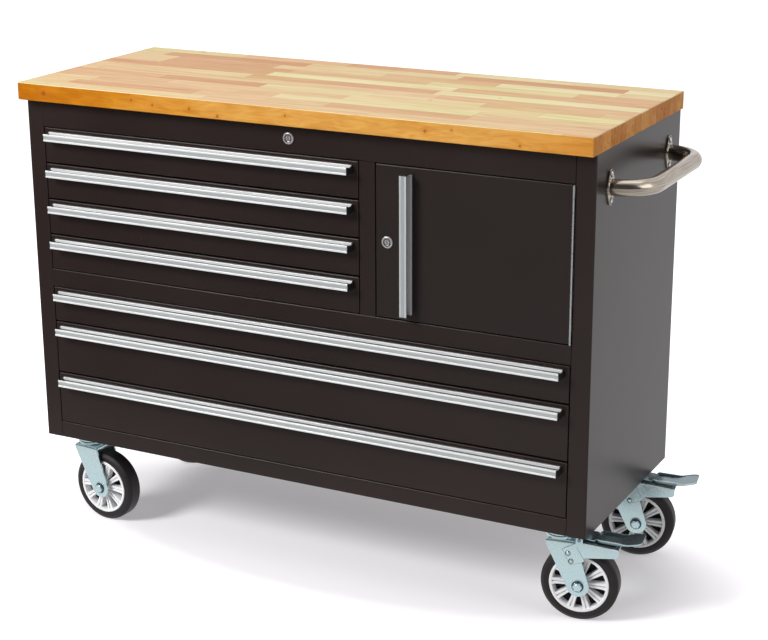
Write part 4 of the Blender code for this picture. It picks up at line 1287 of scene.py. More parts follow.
@dataclass
class Drawer:
    """One drawer: folded front, welded box with a hemmed rim, and a runner on each side."""

    name: str
    sheet: float = 0.0012
    front_depth: float = 0.014
    fold: float = 0.0022
    runner_gap: float = 0.0007
    front_gap: float = 0.0015
    box_gap: float = 0.0112
    top_drop: float = 0.012
    floor_rise: float = 0.006
    corner: float = 0.003
    hem: float = 0.006
    runner_height: float = 0.0194
    runner_length: float = 0.385
    runner_lip: float = 0.0035

    def build(self) -> None:
        """Make and dress the drawer and its runners."""
        low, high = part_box(self.name)
        left, right = low.x - self.runner_gap, high.x + self.runner_gap
        body = self.name + "_body"
        shape = Shape()
        profile = fold_profile(low.y, self.front_depth, self.sheet, self.fold)
        shape.stack((left + self.front_gap, low.z), (right - self.front_gap, high.z),
                    0.0012, profile, Axis.Y)
        floor, rim = low.z + self.floor_rise, high.z - self.top_drop
        start, end = left + self.box_gap, right - self.box_gap
        wall = self.sheet
        box = [(wall + 0.0008, floor + wall), (wall, floor + wall + 0.0008), (wall, rim - self.hem),
               (2 * wall, rim - self.hem), (2 * wall, rim), (wall, rim + 0.0),
               (0.0002, rim - 0.0002), (0.0, rim - 0.0008), (0.0, floor + 0.0008), (0.0008, floor)]
        shape.stack((start, low.y + 2 * wall), (end, high.y), self.corner, box, Axis.Z)
        finish_piece(shape, self.name + "_tray", [DRAWER_PAINT], body, [self.name])
        self.build_runners(body, start, end, (floor + rim) / 2, high.y)

    def build_runners(self, body: str, start: float, end: float, middle: float,
                      back: float) -> None:
        """Make the two slide members on the box.

        Args:
            body: The drawer's body.
            start: Outside of the box's left wall.
            end: Outside of its right wall.
            middle: Height of the slides.
            back: Where the box ends.
        """
        half = self.runner_height / 2
        reach = self.box_gap - self.runner_gap
        wall = self.sheet
        section = [(0, -half), (reach, -half), (reach, -half + self.runner_lip),
                   (reach - wall, -half + self.runner_lip), (reach - wall, -half + wall),
                   (wall, -half + wall)]
        section += [(out, -height) for out, height in reversed(section)]
        radii = [0.001, 0.0018, 0.0004, 0.0004, 0.0007, 0.0003] * 2
        radii[6:] = list(reversed(radii[:6]))
        section = rounded(section, radii, 3)
        shape = Shape()
        for side, edge in ((-1, start), (1, end)):
            outline = [(edge + side * out, middle + height) for out, height in section]
            shape.prism(outline, Axis.Y, back - SEAT - self.runner_length, back - SEAT)
        finish_piece(shape, self.name + "_runners", [SLIDE_ZINC], body, [self.name])


@dataclass
class Pull:
    """An aluminium pull of J section with a black plastic cap on each end."""

    node: str
    body: str
    upright: bool = False
    projection: float = 0.023
    lip_height: float = 0.0145
    flange_height: float = 0.0155
    flange_thickness: float = 0.0045
    wall: float = 0.002
    groove_depth: float = 0.0007
    groove_margin: float = 0.0032
    cap_length: float = 0.0018
    painted_shadow_start: float = 0.0082
    painted_shadow_height: float = 0.0022
    painted_shadow_drop: float = 0.0032

    def section(self) -> list[Point]:
        """The pull's section as (distance out, height) points."""
        out, low, high = self.projection, self.groove_margin, self.lip_height - self.groove_margin
        groove = out - self.groove_depth
        slope = self.groove_depth
        points = [(SEAT, 0), (out, 0), (out, low), (groove, low + slope), (groove, high - slope),
                  (out, high), (out, self.lip_height), (out - self.wall, self.lip_height),
                  (out - self.wall, self.wall), (self.flange_thickness, self.wall),
                  (self.flange_thickness, self.flange_height), (SEAT, self.flange_height)]
        radii = [0.0006, 0.0009, 0.0003, 0.0003, 0.0003, 0.0003, 0.0008, 0.0008, 0.0016, 0.0016,
                 0.0007, 0.0003]
        return rounded(points, radii, 4)

    def cap_section(self) -> list[Point]:
        """Section of the end caps, closed between flange and lip."""
        out, top = self.projection, self.lip_height
        points = [(SEAT, 0), (out, 0), (out, top), (out - 1.4 * self.wall, top),
                  (out - 2.2 * self.wall, top - 0.9 * self.wall),
                  (self.flange_thickness + 0.8 * self.wall, top - 0.9 * self.wall),
                  (self.flange_thickness, self.flange_height), (SEAT, self.flange_height)]
        radii = [0.0006, 0.0012, 0.0010, 0.0006, 0.0006, 0.0006, 0.0007, 0.0003]
        return rounded(points, radii, 4)

    def placed(self, section: Sequence[Point]) -> list[Point]:
        """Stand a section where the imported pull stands."""
        low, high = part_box(self.node)
        if self.upright:
            return [(low.x + across, high.y + SEAT - out) for out, across in section]
        return [(high.y + SEAT - out, low.z + height) for out, height in section]

    def build(self) -> None:
        """Make and dress the pull and its caps."""
        low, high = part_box(self.node)
        axis = Axis.Z if self.upright else Axis.X
        start, end = low[axis.value], high[axis.value]
        shape = Shape()
        shape.prism(self.placed(self.section()), axis, start, end)
        # The groove strip takes a darker copy of the aluminium: painted dark reflection.
        face, edge = self.projection - self.groove_depth, self.groove_margin + self.groove_depth
        strip = [(face - 0.0003, edge), (face + 0.00004, edge),
                 (face + 0.00004, self.lip_height - edge), (face - 0.0003, self.lip_height - edge)]
        shape.prism(self.placed(strip), axis, start + SEAT, end - SEAT, slot=1)
        # A dark strip on the flange face just above the lip: painted shadow of the trough.
        base, wall = self.painted_shadow_start, self.flange_thickness
        if self.upright:
            base -= self.painted_shadow_drop
        painted_trough_shadow = [(wall - 0.0003, base), (wall + 0.00004, base),
                  (wall + 0.00004, base + self.painted_shadow_height), (wall - 0.0003, base + self.painted_shadow_height)]
        shape.prism(self.placed(painted_trough_shadow), axis, start + SEAT, end - SEAT, slot=2)
        metals = [PULL_LEVEL, PULL_LEVEL_GROOVE, PULL_PAINTED_SHADOW]
        if self.upright:
            metals = [PULL_UPRIGHT, PULL_UPRIGHT_GROOVE, PULL_PAINTED_SHADOW]
        finish_piece(shape, self.node + "_extrusion", metals, self.body,
                     [self.node])
        caps = Shape()
        outline = self.placed(self.cap_section())
        caps.prism(outline, axis, start - self.cap_length, start - 0.00005)
        caps.prism(outline, axis, end + 0.00005, end + self.cap_length)
        finish_piece(caps, self.node + "_caps", [CAP_PLASTIC], self.body,
                     edge=0.0005)


@dataclass
class Door:
    """The folded door with a stiffened edge all round."""

    sheet: float = 0.0015
    depth: float = 0.015
    fold: float = 0.0024
    corner: float = 0.0014

    def build(self) -> None:
        """Make and dress the door."""
        low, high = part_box("door")
        shape = Shape()
        shape.stack((low.x, low.z), (high.x, high.z), self.corner,
                    fold_profile(low.y, self.depth, self.sheet, self.fold, 5), Axis.Y)
        finish_piece(shape, "door_pan", [DOOR_PAINT], "door_body", ["door"])


@dataclass
class PianoHinge:
    """The long hinge: a leaf on the frame and one on the door, with alternate knuckles."""

    knuckles: int = 12
    radius: float = 0.0025
    knuckle_radius: float = 0.0018
    gap: float = 0.0004
    leaf: float = 0.001
    bore: float = 0.0012

    def build(self) -> None:
        """Make and dress both leaves and the pin."""
        growth = knuckle_row()
        pin_low, pin_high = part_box("hinge_pin")
        centre = (pin_low + pin_high) / 2
        length = pin_high.z - pin_low.z
        pitch = length / self.knuckles
        for node, body, first, way in (("hinge_frame_leaf", "cabinet", 0, 1),
                                       ("hinge_door_leaf", "door_body", 1, -1)):
            low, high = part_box(node)
            reach = self.radius - 0.0008
            flat = sorted((centre.x + way * reach, centre.x + way * (reach - self.leaf)))
            shape = Shape()
            shape.box((flat[0], centre.y + self.radius, low.z), (flat[1], high.y, high.z))
            start = pin_low.z + (first + 0.5) * pitch
            row = growth.grow(points_mesh([(0, 0, 0)]), HINGE_STEEL, Count=self.knuckles // 2,
                              First=(centre.x, centre.y, start), Step=(0.0, 0.0, 2 * pitch),
                              Radius=self.knuckle_radius, Length=pitch - 2 * self.gap)
            shape.take(row)
            for number in range(first, self.knuckles, 2):
                base = pin_low.z + number * pitch + self.gap
                shape.box((flat[0], centre.y, base),
                          (flat[1], centre.y + self.radius + self.leaf, base + pitch - 2 * self.gap))
            finish_piece(shape, node + "_knuckled", [HINGE_STEEL], body, [node])
        dress_node("hinge_pin", HINGE_STEEL, 0.0)


@dataclass
class CamLock:
    """A chrome cam lock: fixed head and barrel, and the plug that turns with its cam."""

    name: str
    frame_body: str
    plug_body: str
    head_radius: float = 0.0115
    head_height: float = 0.003
    body_radius: float = 0.0088
    body_length: float = 0.0215
    bore_radius: float = 0.006
    keyway_width: float = 0.0014
    keyway_height: float = 0.0076
    keyway_depth: float = 0.005
    cam_width: float = 0.010
    cam_reach: float = 0.020
    cam_thickness: float = 0.002
    sides: int = 48

    def build(self) -> None:
        """Make and dress the barrel and the plug."""
        low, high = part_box(self.name + "_barrel")
        centre = Vector(((low.x + high.x) / 2, low.y + self.head_height, (low.z + high.z) / 2))
        head = self.head_height
        barrel = [(self.bore_radius, self.body_length), (self.body_radius, self.body_length),
                  (self.body_radius, -SEAT), (self.head_radius, -SEAT),
                  (self.head_radius, -0.45 * head), (self.head_radius - 0.0003, -0.7 * head),
                  (self.head_radius - 0.0010, -0.93 * head), (self.head_radius - 0.0019, -head),
                  (self.bore_radius + 0.0016, -0.93 * head), (self.bore_radius + 0.0012, -0.75 * head),
                  (self.bore_radius + 0.0003, -0.72 * head), (self.bore_radius, -0.66 * head)]
        shape = Shape()
        shape.lathe(barrel, Axis.Y, centre, self.sides, looped=True)
        # A black ring in the recess round the plug: painted shade.
        ring = [(radius, -share * head) for radius, share in (
            (self.bore_radius + 0.0002, 0.70), (self.bore_radius + 0.0002, 0.945),
            (self.bore_radius + 0.0014, 0.945), (self.bore_radius + 0.0014, 0.70))]
        shape.lathe(ring, Axis.Y, centre, self.sides, slot=1, looped=True)
        finish_piece(shape, self.name + "_housing", [LOCK_CHROME, BLACK_POCKETS_AND_PAINTED_SHADE], self.frame_body,
                     [self.name + "_barrel"])
        face = -0.78 * head
        radius = self.bore_radius - SEAT
        cam_start = self.body_length + SEAT
        cam_end = cam_start + self.cam_thickness
        plug = Shape()
        plug.lathe([(radius - 0.0006, face), (radius, face + 0.0006), (radius, cam_end + 0.0012),
                    (radius - 0.0008, cam_end + 0.002)], Axis.Y, centre, self.sides)
        slot = Shape()
        slot.box((centre.x - self.keyway_width / 2, centre.y - 2 * head,
                  centre.z - self.keyway_height / 2),
                 (centre.x + self.keyway_width / 2, centre.y + face + self.keyway_depth,
                  centre.z + self.keyway_height / 2))
        plug = joined(plug, [slot])
        half = self.cam_width / 2
        outline = rounded(((-half, -self.cam_reach), (half, -self.cam_reach), (half, half),
                           (-half, half)), [half * 0.9, half * 0.9, 0.002, 0.002], 6)
        plug.prism([(centre.x + x, centre.z + z) for x, z in outline], Axis.Y,
                   centre.y + cam_start, centre.y + cam_end)
        finish_piece(plug, self.name + "_key_plug", [LOCK_CHROME], self.plug_body,
                     [self.name + "_plug"])


@dataclass
class PushHandle:
    """The bent stainless tube with a lobed plate and two bolts at each end."""

    tube_radius: float = 0.0152
    bend_radius: float = 0.062
    bend_steps: int = 20
    sides: int = 40
    plate_thickness: float = 0.003
    plate_radius: float = 0.0190
    lobe_radius: float = 0.0085
    lobe_offset: float = 0.0245
    bolt_radius: float = 0.0050
    bolt_height: float = 0.0026

    def build(self, domes: Growth) -> None:
        """Make and dress the handle, with bolts from the tree that sets domed heads."""
        low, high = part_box("push_handle")
        height = (low.z + high.z) / 2
        front, rear = low.y + self.plate_radius, high.y - self.plate_radius
        reach, bend = high.x - self.tube_radius, self.bend_radius
        path = [(low.x + self.plate_thickness / 2, front)]
        path += arc((reach - bend, front + bend), bend, -90, 0, self.bend_steps)
        path += arc((reach - bend, rear - bend), bend, 0, 90, self.bend_steps)
        path.append((low.x + self.plate_thickness / 2, rear))
        shape = Shape()
        shape.tube([Vector((x, y, height)) for x, y in path], self.tube_radius, self.sides)
        end = low.x + self.plate_thickness
        for y in (front, rear):
            outline = self.lobes(y, height)
            middle = Vector((0, y, height))
            rings = []
            for inset, x in ((0.0, low.x), (0.0, end - 0.0010), (0.0003, end - 0.0003),
                             (0.0010, end)):
                ring = []
                for across, up in outline:
                    away = Vector((0, across, up)) - middle
                    ring.append(Vector((x, 0, 0)) + middle + away * (1 - inset / away.length))
                rings.append(ring)
            shape.skin(rings)
            weld_bead = [(self.tube_radius, 0.0), (self.tube_radius + 0.0016, 0.0),
                         (self.tube_radius + 0.0012, 0.0011), (self.tube_radius + 0.0004, 0.0017),
                         (self.tube_radius - 0.0002, 0.0018)]
            shape.lathe(weld_bead, Axis.X, (end - SEAT, y, height), self.sides, looped=True)
        finish_piece(shape, "handle_tube", [TUBE_STEEL], "cabinet", ["push_handle"])
        spots = [(end, y, height + side * self.lobe_offset) for y in (front, rear)
                 for side in (-1, 1)]
        heads = domes.grow(
            points_mesh(spots), LOCK_CHROME, Radius=self.bolt_radius, Height=self.bolt_height,
            Facing=(1.0, 0.0, 0.0))
        bolts = Shape()
        # A black ring under each bolt head: painted shade.
        for spot in spots:
            bolts.lathe([(self.bolt_radius + 0.0014, -SEAT), (self.bolt_radius + 0.0014, 0.0004)],
                        Axis.X, spot, 28, slot=1)
        bolts.take(heads)
        finish_piece(bolts, "handle_bolts", [LOCK_CHROME, BLACK_POCKETS_AND_PAINTED_SHADE], "cabinet",
                     sharp=80)

    def lobes(self, y: float, height: float) -> list[Point]:
        """Outline of a plate: a round middle that narrows to a lobe above and one below."""
        spread = math.degrees(math.acos((self.plate_radius - self.lobe_radius) / self.lobe_offset))
        top, foot = (y, height + self.lobe_offset), (y, height - self.lobe_offset)
        outline = arc(top, self.lobe_radius, 90 - spread, 90 + spread, 14)
        outline += arc((y, height), self.plate_radius, 90 + spread, 270 - spread, 14)
        outline += arc(foot, self.lobe_radius, 270 - spread, 270 + spread, 14)
        outline += arc((y, height), self.plate_radius, -90 + spread, 90 - spread, 14)
        return outline


@dataclass
class Wheel:
    """A spoked silver rim with black pockets, and its rubber tyre."""

    radius: float = 0.075
    tyre_width: float = 0.038
    rim_radius: float = 0.0575
    ring_width: float = 0.0385
    ring_depth: float = 0.0062
    hub_radius: float = 0.0140
    hub_width: float = 0.046
    bore: float = 0.0064
    spokes: int = 10
    spoke_face: float = 0.0168
    bar_width: float = 0.0041
    groove_width: float = 0.0017
    sides: int = 96

    def build(self, name: str, place: Matrix, turn: float, ring: Growth) -> None:
        """Make and dress the rim and the tyre.

        Args:
            name: The caster's name.
            place: Carries the caster's own space to the bench's.
            turn: How far the caster is turned.
            ring: The tree that sets the spokes.
        """
        body = name + "_wheel"
        centre = place @ Vector((0.040, 0, self.radius))
        stand = Matrix.Translation(centre) @ Matrix.Rotation(math.radians(turn), 4, "Z")
        half, inner = self.ring_width / 2, self.rim_radius - self.ring_depth
        shape = Shape()
        ring_profile = [(inner + 0.0012, -half), (self.rim_radius - 0.0010, -half),
                        (self.rim_radius, -half + 0.0010), (self.rim_radius, half - 0.0010),
                        (self.rim_radius - 0.0010, half), (inner + 0.0012, half),
                        (inner + 0.0002, half - 0.0012), (inner - 0.0008, half - 0.0050),
                        (inner - 0.0008, -half + 0.0050), (inner + 0.0002, -half + 0.0012)]
        shape.lathe(ring_profile, Axis.Y, (0, 0, 0), self.sides, looped=True)
        reach = self.hub_width / 2
        hub_profile = [(self.bore, -reach), (0.0100, -reach), (0.0108, -reach + 0.0008),
                       (0.0112, -self.spoke_face - 0.0008), (self.hub_radius + 0.0020,
                                                            -self.spoke_face + 0.0006),
                       (self.hub_radius + 0.0030, -self.spoke_face + 0.0030),
                       (self.hub_radius + 0.0030, self.spoke_face - 0.0030),
                       (self.hub_radius + 0.0020, self.spoke_face - 0.0006),
                       (0.0112, self.spoke_face + 0.0008), (0.0108, reach - 0.0008),
                       (0.0100, reach), (self.bore, reach)]
        shape.lathe(hub_profile, Axis.Y, (0, 0, 0), 48, looped=True)
        web = [(self.hub_radius, -0.0025), (inner, -0.0025), (inner, 0.0025), (self.hub_radius, 0.0025)]
        shape.lathe(web, Axis.Y, (0, 0, 0), self.sides, slot=1, looped=True)
        shape.move(stand)
        spokes = ring.grow(self.spoke_mesh(inner), RIM_SILVER_AND_PAINTED_HIGHLIGHT, Count=self.spokes,
                           Centre=tuple(centre), Turn=(0.0, 0.0, math.radians(turn)))
        shape.take(spokes)
        finish_piece(shape, name + "_spoked_rim", [RIM_SILVER_AND_PAINTED_HIGHLIGHT, BLACK_POCKETS_AND_PAINTED_SHADE], body,
                     [name + "_rim"])
        tyre = Shape()
        tyre.lathe(self.tyre_profile(), Axis.Y, (0, 0, 0), self.sides, looped=True, phase=0.5)
        tyre.move(stand)
        finish_piece(tyre, name + "_rubber_tyre", [RUBBER], body, [name + "_tyre"])

    def spoke_mesh(self, outer: float) -> bpy.types.Mesh:
        """One double spoke: two bars with a sunk strip between them."""
        shape = Shape()
        start, end = self.hub_radius, outer + 0.0006
        for side in (-1, 1):
            rings = []
            for along, spread, face in ((start, 0.8, 0.0), (start + 0.006, 0.9, -0.0003),
                                        (end - 0.006, 1.25, 0.0006), (end, 1.5, 0.0018)):
                near = side * self.groove_width / 2 * spread
                far = near + side * self.bar_width * spread
                depth = self.spoke_face + face
                edge = side * 0.0006
                rings.append([Vector((along, y, z)) for y, z in (
                    (-depth + 0.0006, near), (-depth, near + edge), (-depth, far - edge),
                    (-depth + 0.0008, far), (depth - 0.0008, far), (depth, far - edge),
                    (depth, near + edge), (depth - 0.0006, near))])
            shape.skin(rings)
        strip = self.spoke_face - 0.0032
        shape.box((start, -strip, -0.0022), (end, strip, 0.0022))
        return shape.plain("spoke")

    def tyre_profile(self) -> list[Point]:
        """Section of the tyre as (radius, width) points."""
        half, radius, rim = self.tyre_width / 2, self.radius, self.rim_radius + SEAT
        points = [(rim, -half + 0.0010), (rim + 0.0020, -half), (radius - 0.0075, -half + 0.0002),
                  (radius, -half + 0.0050), (radius, half - 0.0050),
                  (radius - 0.0075, half - 0.0002), (rim + 0.0020, half), (rim, half - 0.0010)]
        radii = [0.0005, 0.0010, 0.0050, 0.0060, 0.0060, 0.0050, 0.0010, 0.0005]
        return rounded(points, radii, 6)


@dataclass
class Caster:
    """A swivel caster: plate, ball race, fork, axle and wheel."""

    name: str
    turn: float
    wheel: Wheel
    height: float = 0.190
    plate_length: float = 0.105
    plate_width: float = 0.085
    plate_thickness: float = 0.004
    trail: float = 0.040
    axle_height: float = 0.075
    crown_top: float = 0.1662
    crown_bottom: float = 0.1617
    crown_back: float = 0.028
    crown_front: float = 0.033
    race_top: float = 0.1757
    race_radius: float = 0.028
    boss_radius: float = 0.022
    fork_inner: float = 0.025
    fork_outer: float = 0.0285
    end_radius: float = 0.021
    axle_radius: float = 0.006
    nut_radius: float = 0.0095
    nut_height: float = 0.006
    sides: int = 64

    def place(self) -> Matrix:
        """Carry the caster's own space, with its trail along +X, to the bench's."""
        low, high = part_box(self.name + "_plate")
        spot = Vector(((low.x + high.x) / 2, (low.y + high.y) / 2, 0))
        return Matrix.Translation(spot) @ Matrix.Rotation(math.radians(self.turn), 4, "Z")

    def build(self, ring: Growth, hexagons: Growth) -> None:
        """Make and dress all the pieces.

        Args:
            ring: The tree that sets the spokes.
            hexagons: The tree that sets bolt heads.
        """
        self.build_plate(hexagons)
        self.build_fork()
        self.build_axle()
        self.wheel.build(self.name, self.place(), self.turn, ring)

    def build_plate(self, hexagons: Growth) -> None:
        """Make the top plate with its upper race, kingpin and four bolts."""
        low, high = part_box(self.name + "_plate")
        bottom = self.height - self.plate_thickness
        shape = Shape()
        shape.stack((low.x, low.y), (high.x, high.y), 0.010,
                    [(0.0006, bottom), (0.0, bottom + 0.0006), (0.0, self.height - 0.0006),
                     (0.0006, self.height)], Axis.Z, steps=6)
        spot = self.place() @ Vector((0, 0, 0))
        race = [(0.0105, self.crown_bottom - SEAT - 0.0045), (0.0105, self.crown_bottom - SEAT),
                (0.0058, self.crown_bottom - SEAT), (0.0058, self.race_top + SEAT),
                (self.boss_radius, self.race_top + SEAT), (self.boss_radius + 0.0015, 0.1772),
                (self.boss_radius + 0.0015, 0.1786), (self.boss_radius - 0.0005, 0.1796),
                (self.boss_radius + 0.0010, 0.1812), (self.boss_radius + 0.0040, 0.1842),
                (self.boss_radius + 0.0062, bottom + SEAT)]
        shape.lathe(race, Axis.Z, spot, self.sides)
        spots = [(x, y, bottom - 0.0014) for x in (low.x + 0.0125, high.x - 0.0125)
                 for y in (low.y + 0.0115, high.y - 0.0115)]
        heads = hexagons.grow(points_mesh(spots), CASTER_ZINC, Radius=0.0066, Height=0.0042,
                              Facing=(0.0, 0.0, -1.0))
        shape.take(heads)
        finish_piece(shape, self.name + "_top_plate", [CASTER_ZINC], "cabinet",
                     [self.name + "_plate"])

    def build_fork(self) -> None:
        """Make the pressed fork with its rounded crown, boss rings and lower race."""
        corners = ((-self.crown_back, self.crown_top), (self.crown_front, self.crown_top))
        side = tangent_outline((self.trail, self.axle_height), self.end_radius, corners, 24)
        radii = [0.007, 0.007] + [0.0] * (len(side) - 2)
        blank = Shape()
        blank.prism(rounded(side, radii, 8), Axis.Y, -self.fork_outer, self.fork_outer)
        hood = Shape()
        outer = self.fork_outer
        hood.prism(rounded(((-outer, 0.0), (outer, 0.0), (outer, self.crown_top),
                            (-outer, self.crown_top)), [0.0, 0.0, 0.0065, 0.0065], 6), Axis.X,
                   -0.1, 0.1)
        blank = joined(blank, [hood], "INTERSECT")
        inner = self.fork_inner
        gap = Shape()
        gap.prism(rounded(((-inner, 0.0), (inner, 0.0), (inner, self.crown_bottom),
                           (-inner, self.crown_bottom)), [0.0, 0.0, 0.0035, 0.0035], 6), Axis.X,
                  -0.2, 0.2)
        fork = joined(blank, [gap])
        top = self.race_top
        race = [(0.0068, self.crown_bottom), (0.020, self.crown_bottom),
                (self.race_radius, self.crown_top - 0.0004),
                (self.race_radius, self.crown_top + 0.0040),
                (self.race_radius - 0.0005, self.crown_top + 0.0048),
                (self.race_radius - 0.0026, self.crown_top + 0.0052),
                (self.race_radius - 0.0026, self.crown_top + 0.0060),
                (self.race_radius - 0.0006, self.crown_top + 0.0064),
                (self.race_radius - 0.0004, top - 0.0012), (self.race_radius - 0.0016, top),
                (0.0068, top)]
        fork.lathe(race, Axis.Z, (0, 0, 0), self.sides, looped=True)
        for way in (-1, 1):
            boss = [(0.0140, outer - 0.0002), (0.0128, outer + 0.0006), (self.axle_radius,
                                                                        outer + 0.0006),
                    (self.axle_radius, outer - 0.0010)]
            fork.lathe([(radius, way * height) for radius, height in boss], Axis.Y,
                       (self.trail, 0, self.axle_height), 48, looped=True)
        fork.move(self.place())
        finish_piece(fork, self.name + "_pressed_fork", [CASTER_ZINC], self.name + "_swivelling",
                     [self.name + "_fork"], edge=0.0005)

    def build_axle(self) -> None:
        """Make the axle bolt with its washer, hexagonal head, nut and thread end."""
        centre = (self.trail, 0, self.axle_height)
        start = self.fork_outer + 0.0007
        shape = Shape()
        shape.lathe([(self.axle_radius - 0.0004, -start - self.nut_height),
                     (self.axle_radius, -start - self.nut_height + 0.0006),
                     (self.axle_radius, start + 0.002)], Axis.Y, centre, 32)
        for way, height in ((-1, 0.0046), (1, 0.0054)):
            # The washers take the near-black zinc: painted shade round the nuts.
            washer = [(0.0118, 0.0), (0.0118, 0.0008), (0.0112, 0.0012), (0.0050, 0.0012),
                      (0.0050, 0.0)]
            shape.lathe([(radius, way * (start - 0.0003 + out)) for radius, out in washer], Axis.Y,
                        centre, 40, slot=1, looped=True)
            nut = [(self.nut_radius, 0.0), (self.nut_radius, height - 0.0010),
                   (self.nut_radius - 0.0012, height)]
            shape.lathe([(radius, way * (start + 0.0009 + out)) for radius, out in nut], Axis.Y,
                        centre, 6)
        shape.move(self.place())
        finish_piece(shape, self.name + "_axle_bolt", [CASTER_ZINC, CASTER_PAINTED_SHADE],
                     self.name + "_swivelling", [self.name + "_axle"], edge=0.0003)


@dataclass
class Brake:
    """The total-lock brake: a riveted cover over the wheel and a curled foot pedal."""

    caster: Caster
    outer: float = 0.0308
    inner: float = 0.0288
    sheet: float = 0.002
    reach: float = 0.115
    top_start: float = 0.1644
    top_end: float = 0.1576
    cover_start: float = 0.0365
    pivot: Point = (0.041, 0.1695)
    ear_radius: float = 0.0068
    pin_radius: float = 0.003
    pedal_reach: float = 0.157
    pedal_width: float = 0.054
    pedal_rise: float = 0.010
    pedal_sheet: float = 0.0022

    def build(self, domes: Growth) -> None:
        """Make and dress the cover and the pedal."""
        self.build_cover(domes)
        self.build_pedal()

    def top(self, along: float) -> float:
        """Height of the cover's top."""
        share = (along - self.cover_start) / (self.reach - self.cover_start)
        return self.top_start + (self.top_end - self.top_start) * share

    def build_cover(self, domes: Growth) -> None:
        """Make the cover with its tabs, skirt, ears, rivets and the stiffener on top."""
        name = self.caster.name
        ear, lip = self.ear_radius, 0.001
        front_ear, back_ear = self.pivot[0] + ear, self.pivot[0] - ear
        corners = [(0.0097, 0.1485), (0.0243, 0.1183), (0.0504, 0.1270), (0.0520, 0.1352),
                   (self.reach, 0.1423), (self.reach, self.top_end + lip),
                   (front_ear, self.top(front_ear) + lip)]
        radii = [0.0025, 0.0025, 0.0020, 0.0030, 0.0070, 0.0010, 0.0020]
        ears = arc(self.pivot, ear, 0, 180, 14)
        outline = rounded(corners + ears + [(back_ear, self.top_start - self.sheet)],
                          radii + [0.0] * len(ears) + [0.002], 5)
        cover = Shape()
        cover.prism(outline, Axis.Y, -self.outer, self.outer)
        under = Shape()
        roof = self.top_start - self.sheet
        far = self.reach + 0.004
        under.prism([(-0.004, 0.10), (far, 0.10), (far, self.top(far) - self.sheet),
                     (self.cover_start, roof), (-0.004, roof)], Axis.Y, -self.inner, self.inner)
        over = Shape()
        over.prism([(self.cover_start, self.top(self.cover_start)), (far, self.top(far)),
                    (far, 0.182), (-0.004, 0.182), (-0.004, 0.1352), (self.cover_start, 0.1352)],
                   Axis.Y, -self.inner, self.inner)
        creases = []
        for way in (-1, 1):
            crease = Shape()
            y = way * self.outer
            rings = []
            for along, high in ((0.0365, 0.1560), (0.0525, 0.1290)):
                rings.append([Vector((along - 0.0009, y + way * 0.001, high)),
                              Vector((along, y - way * 0.0011, high)),
                              Vector((along + 0.0009, y + way * 0.001, high))])
            crease.skin(rings)
            creases.append(crease)
        cover = joined(cover, [under, over, *creases])
        plate = [(0.050, 0.0), (0.109, 0.0)]
        rows = []
        for along, _ in plate:
            base = self.top(along) + 0.0004
            rows.append([Vector((along, y, base + rise)) for y, rise in (
                (-0.0225, 0.0), (0.0225, 0.0), (0.0225, 0.0009), (0.0215, 0.0013),
                (-0.0215, 0.0013), (-0.0225, 0.0009))])
        cover.skin(rows)
        rivets = ((0.0201, 0.1413), (0.0262, 0.1259))
        # A dark ring under each rivet head: painted shade.
        for along, high in rivets:
            for way in (-1, 1):
                cover.lathe([(0.0052, way * (self.outer - 0.0003)),
                             (0.0052, way * (self.outer + 0.0004))], Axis.Y, (along, 0, high), 24,
                            slot=1)
        # Dark strips just outside the tabs' lower edges, on the fork's face: painted shadow of the gap.
        edges = ((0.0097, 0.1485), (0.0243, 0.1183), (0.0504, 0.1270))
        for (x, z), (far_x, far_z) in zip(edges, edges[1:]):
            length = math.hypot(far_x - x, far_z - z)
            out = (0.0011 * (z - far_z) / -length, 0.0011 * (far_x - x) / -length)
            line = [(x, z), (far_x, far_z), (far_x + out[0], far_z + out[1]),
                    (x + out[0], z + out[1])]
            cover.prism(line, Axis.Y, -self.inner - 0.0004, -self.inner + 0.0001, slot=1)
            cover.prism(line, Axis.Y, self.inner - 0.0001, self.inner + 0.0004, slot=1)
        # Silver strips along the top edges of the cover's side walls: painted highlight.
        for way in (-1, 1):
            line = [(along, self.top(along) + lip + rise) for along, rise in (
                (0.050, -0.0009), (0.1135, -0.0009), (0.1135, 0.0004), (0.050, 0.0004))]
            start, end = sorted((way * (self.inner - 0.0001), way * (self.outer + 0.0001)))
            cover.prism(line, Axis.Y, start, end, slot=2)
        cover.move(self.caster.place())
        spots = []
        for along, high in rivets:
            spots += [self.caster.place() @ Vector((along, way * self.outer, high))
                      for way in (-1, 1)]
        heads = domes.grow(points_mesh(spots), CASTER_ZINC, Radius=0.0038, Height=0.0016,
                           Facing=(0.0, 1.0, 0.0))
        cover.take(heads)
        finish_piece(cover, name + "_brake_hood", [CASTER_ZINC, CASTER_PAINTED_SHADE, RIM_SILVER_AND_PAINTED_HIGHLIGHT],
                     name + "_swivelling", [name + "_brake_cover"], edge=0.0004)

